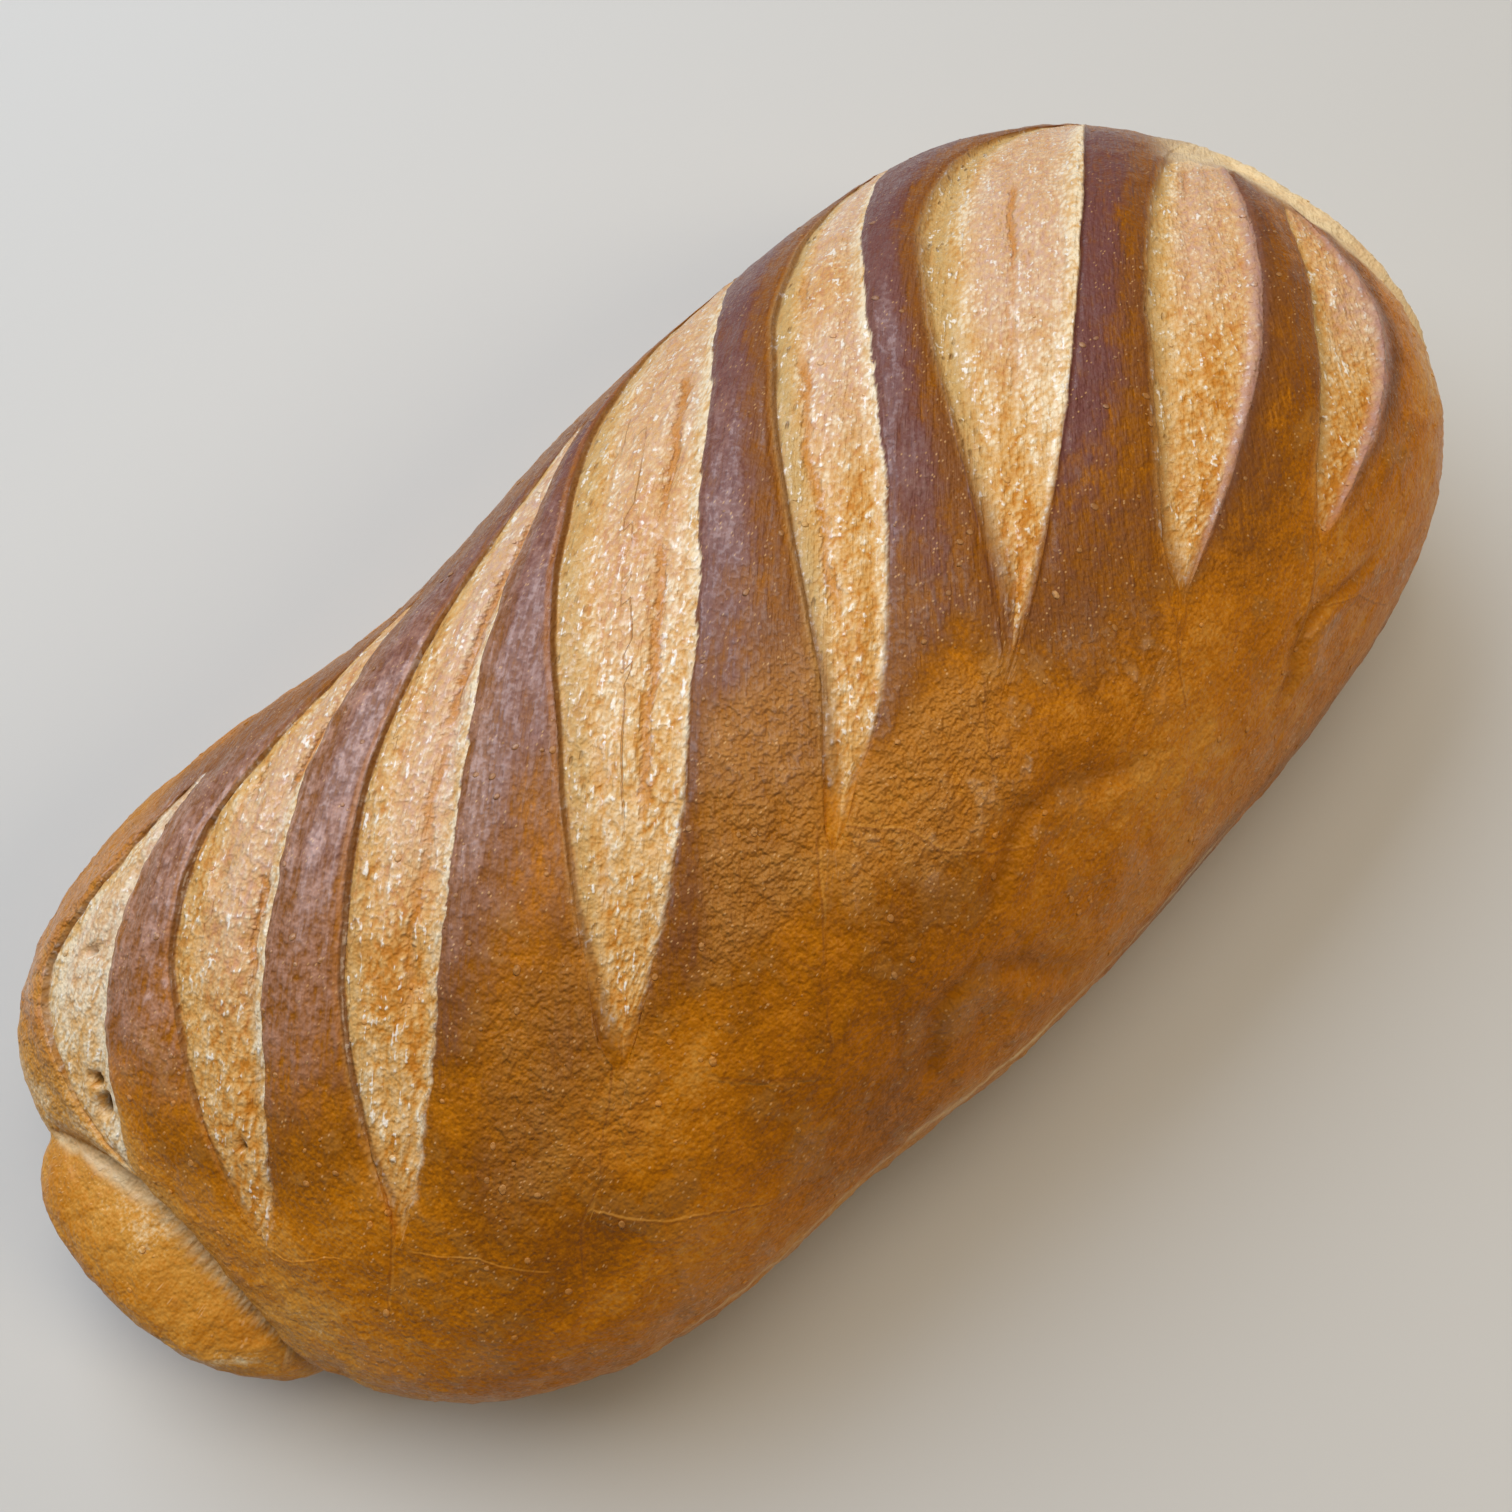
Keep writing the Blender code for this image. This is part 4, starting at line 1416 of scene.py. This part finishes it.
    rough = 0.38 + mottle * 0.3 + gap * 0.2 + number("under") * 0.3 + speckle * 0.2
    nodes.feed(surface["Roughness"], rough)
    glint = (pebble + streak * 0.6).rise(0.0, 0.16)
    gloss_and_painted_highlight = gloss_and_painted_highlight * (1 - opened)
    sheen = number("sheen") * (1 - opened)
    coat = (top * 0.35 + opened * 0.55 + gloss_and_painted_highlight * 0.25 + 0.06) * glint + top * 0.16 + gloss_and_painted_highlight * 0.16
    coat = (coat + sheen * (0.28 + silky * 0.42)).least(1.0)
    nodes.feed(surface["Coat Weight"], coat * (1 - number("under")))
    nodes.feed(surface["Coat Roughness"], GLAZE_ROUGHNESS)
    nodes.feed(surface["Specular IOR Level"], GLAZE_MIRROR)
    nodes.feed(surface["Specular Tint"], colours.glaze)

    rougher = 1 + number("leathery") * 1.2
    height = pebble * 0.42 * rougher + mottle * 0.6 * rougher + speck * 0.05
    height = height + granule * opened * 0.18 + streak * opened.most(top) * 0.38
    height = height - pores * 0.4 - seam * 0.3 + hair.rise(-0.2, 0.2) * number("crack_near") * 0.12
    inputs = {"Strength": 1.0, "Distance": BUMP_HEIGHT, "Height": height}
    bump = nodes.make("ShaderNodeBump", {}, inputs)
    nodes.feed(surface["Normal"], bump.outputs[0])
    return material


class BLOOMER_OT_crust(bpy.types.Operator):
    """Makes the loaf's skin with its slashes, strips, folds and fine relief"""

    bl_idname = "bloomer.crust"
    bl_label = "Crust"

    def execute(self, context):
        surface = context.scene.bloomer_surface
        plain = add_object("bloomer_plain", crust_mesh(surface.ragged))
        material = crust_material(context.scene.bloomer_colours)
        crust = grow(plain, relief_tree(), surface, material, "bloomer")
        bpy.data.objects.remove(plain)
        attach(crust, "root")
        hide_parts("loaf")
        return {"FINISHED"}


class BLOOMER_OT_blisters(bpy.types.Operator):
    """Makes the small blisters of the crust"""

    bl_idname = "bloomer.blisters"
    bl_label = "Blisters"

    def execute(self, context):
        crust = bpy.data.objects["bloomer"]
        material = crust.data.materials[0]
        surface = context.scene.bloomer_surface
        blisters = grow(crust, blister_tree(), surface, material, "crust_blisters")
        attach(blisters, "root")
        return {"FINISHED"}


# ---------------------------------------------------------------------------------------------------------
# The stage.

CAMERA_PLACE = (-0.1077, -0.0901, 0.3100)
CAMERA_RIGHT = (0.69304, -0.72090, 0.0)
CAMERA_UP = (0.65336, 0.62811, 0.42262)
CAMERA_SENSOR = 36.0
CAMERA_NEAREST = 0.01
FLOOR_SIZE = 6.0
FLOOR_ROUGHNESS = 0.7
BACKDROP = (0.52, 0.50, 0.47)
AIR = (1.0, 0.94, 0.86)
LIT_PLACE = (0, 0, 0.05)


def area_light(name, size, power, colour, place):
    data = bpy.data.lights.new(name, "AREA")
    data.shape = "RECTANGLE"
    data.size, data.size_y = size
    data.energy = power
    data.color = colour
    lamp = add_object(name, data)
    lamp.location = place
    lamp.rotation_euler = (Vector(LIT_PLACE) - Vector(place)).to_track_quat("-Z", "Y").to_euler()


def make_floor(colour):
    half = FLOOR_SIZE / 2
    mesh = bpy.data.meshes.new("floor")
    corners = [(-half, -half, 0), (half, -half, 0), (half, half, 0), (-half, half, 0)]
    mesh.from_pydata(corners, [], [(0, 1, 2, 3)])
    material, nodes, surface = new_material("plain_floor")
    nodes.feed(surface["Base Color"], colour)
    nodes.feed(surface["Roughness"], FLOOR_ROUGHNESS)
    mesh.materials.append(material)
    floor = add_object("floor", mesh)


def make_camera(lens):
    data = bpy.data.cameras.new("camera")
    data.sensor_width = CAMERA_SENSOR
    data.lens = lens
    data.clip_start = CAMERA_NEAREST
    camera = add_object("camera", data)
    right, up = Vector(CAMERA_RIGHT), Vector(CAMERA_UP)
    back = right.cross(up)
    turn = Matrix((right, up, back)).transposed().to_4x4()
    turn.translation = CAMERA_PLACE
    camera.matrix_world = turn
    bpy.context.scene.camera = camera


def make_air(strength):
    world = bpy.data.worlds.new("air")
    bpy.context.scene.world = world
    world.use_nodes = True
    nodes = Nodes(world.node_tree)
    air = nodes.make("ShaderNodeBackground", {}, {"Color": AIR, "Strength": strength}).outputs[0]
    backdrop = nodes.make("ShaderNodeBackground", {}, {"Color": BACKDROP, "Strength": 1.0}).outputs[0]
    seen = nodes.make("ShaderNodeLightPath", {}, {}).outputs["Is Camera Ray"]
    chosen = nodes.make("ShaderNodeMixShader", {}, {0: seen, 1: air, 2: backdrop})
    nodes.feed(world.node_tree.nodes["World Output"].inputs["Surface"], chosen.outputs[0])


class BLOOMER_OT_stage(bpy.types.Operator):
    """Makes the plain floor, the soft lights and the camera"""

    bl_idname = "bloomer.stage"
    bl_label = "Stage"

    def execute(self, context):
        stage = context.scene.bloomer_stage
        make_floor(stage.floor)
        make_air(stage.air)
        area_light("window", (2.0, 1.0), stage.window, (0.74, 0.84, 1.0), (-0.1, 1.05, 1.15))
        area_light("overhead", (0.9, 0.9), stage.overhead, (1.0, 0.92, 0.80), (0.25, 0.1, 1.5))
        area_light("fill", (0.5, 0.5), stage.fill, (1.0, 0.84, 0.60), (0.45, -1.0, 1.0))
        make_camera(stage.lens)
        context.scene.view_settings.view_transform = "Standard"
        return {"FINISHED"}


class BLOOMER_PT_panel(bpy.types.Panel):
    """Lists the steps that make the loaf"""

    bl_label = "Bloomer loaf"
    bl_idname = "BLOOMER_PT_panel"
    bl_space_type = "VIEW_3D"
    bl_region_type = "UI"
    bl_category = "Bloomer"

    def draw(self, context):
        for settings in ("bloomer_surface", "bloomer_colours", "bloomer_stage"):
            group = getattr(context.scene, settings)
            box = self.layout.box()
            for name in group.__annotations__:
                box.prop(group, name)
        for step in STEPS:
            self.layout.operator(step.bl_idname)


STEPS = (BLOOMER_OT_crust, BLOOMER_OT_blisters, BLOOMER_OT_stage)
SETTINGS = {
    "bloomer_surface": BloomerSurface,
    "bloomer_colours": BloomerColours,
    "bloomer_stage": BloomerStage,
}


def register():
    for group in SETTINGS.values():
        bpy.utils.register_class(group)
    for name, group in SETTINGS.items():
        setattr(bpy.types.Scene, name, bpy.props.PointerProperty(type=group))
    for step in (*STEPS, BLOOMER_PT_panel):
        bpy.utils.register_class(step)


def unregister():
    for step in (BLOOMER_PT_panel, *reversed(STEPS)):
        bpy.utils.unregister_class(step)
    for name in SETTINGS:
        delattr(bpy.types.Scene, name)
    for group in reversed(SETTINGS.values()):
        bpy.utils.unregister_class(group)


def main():
    register()
    for step in STEPS:
        group, name = step.bl_idname.split(".")
        getattr(getattr(bpy.ops, group), name)()


if __name__ == "__main__":
    main()
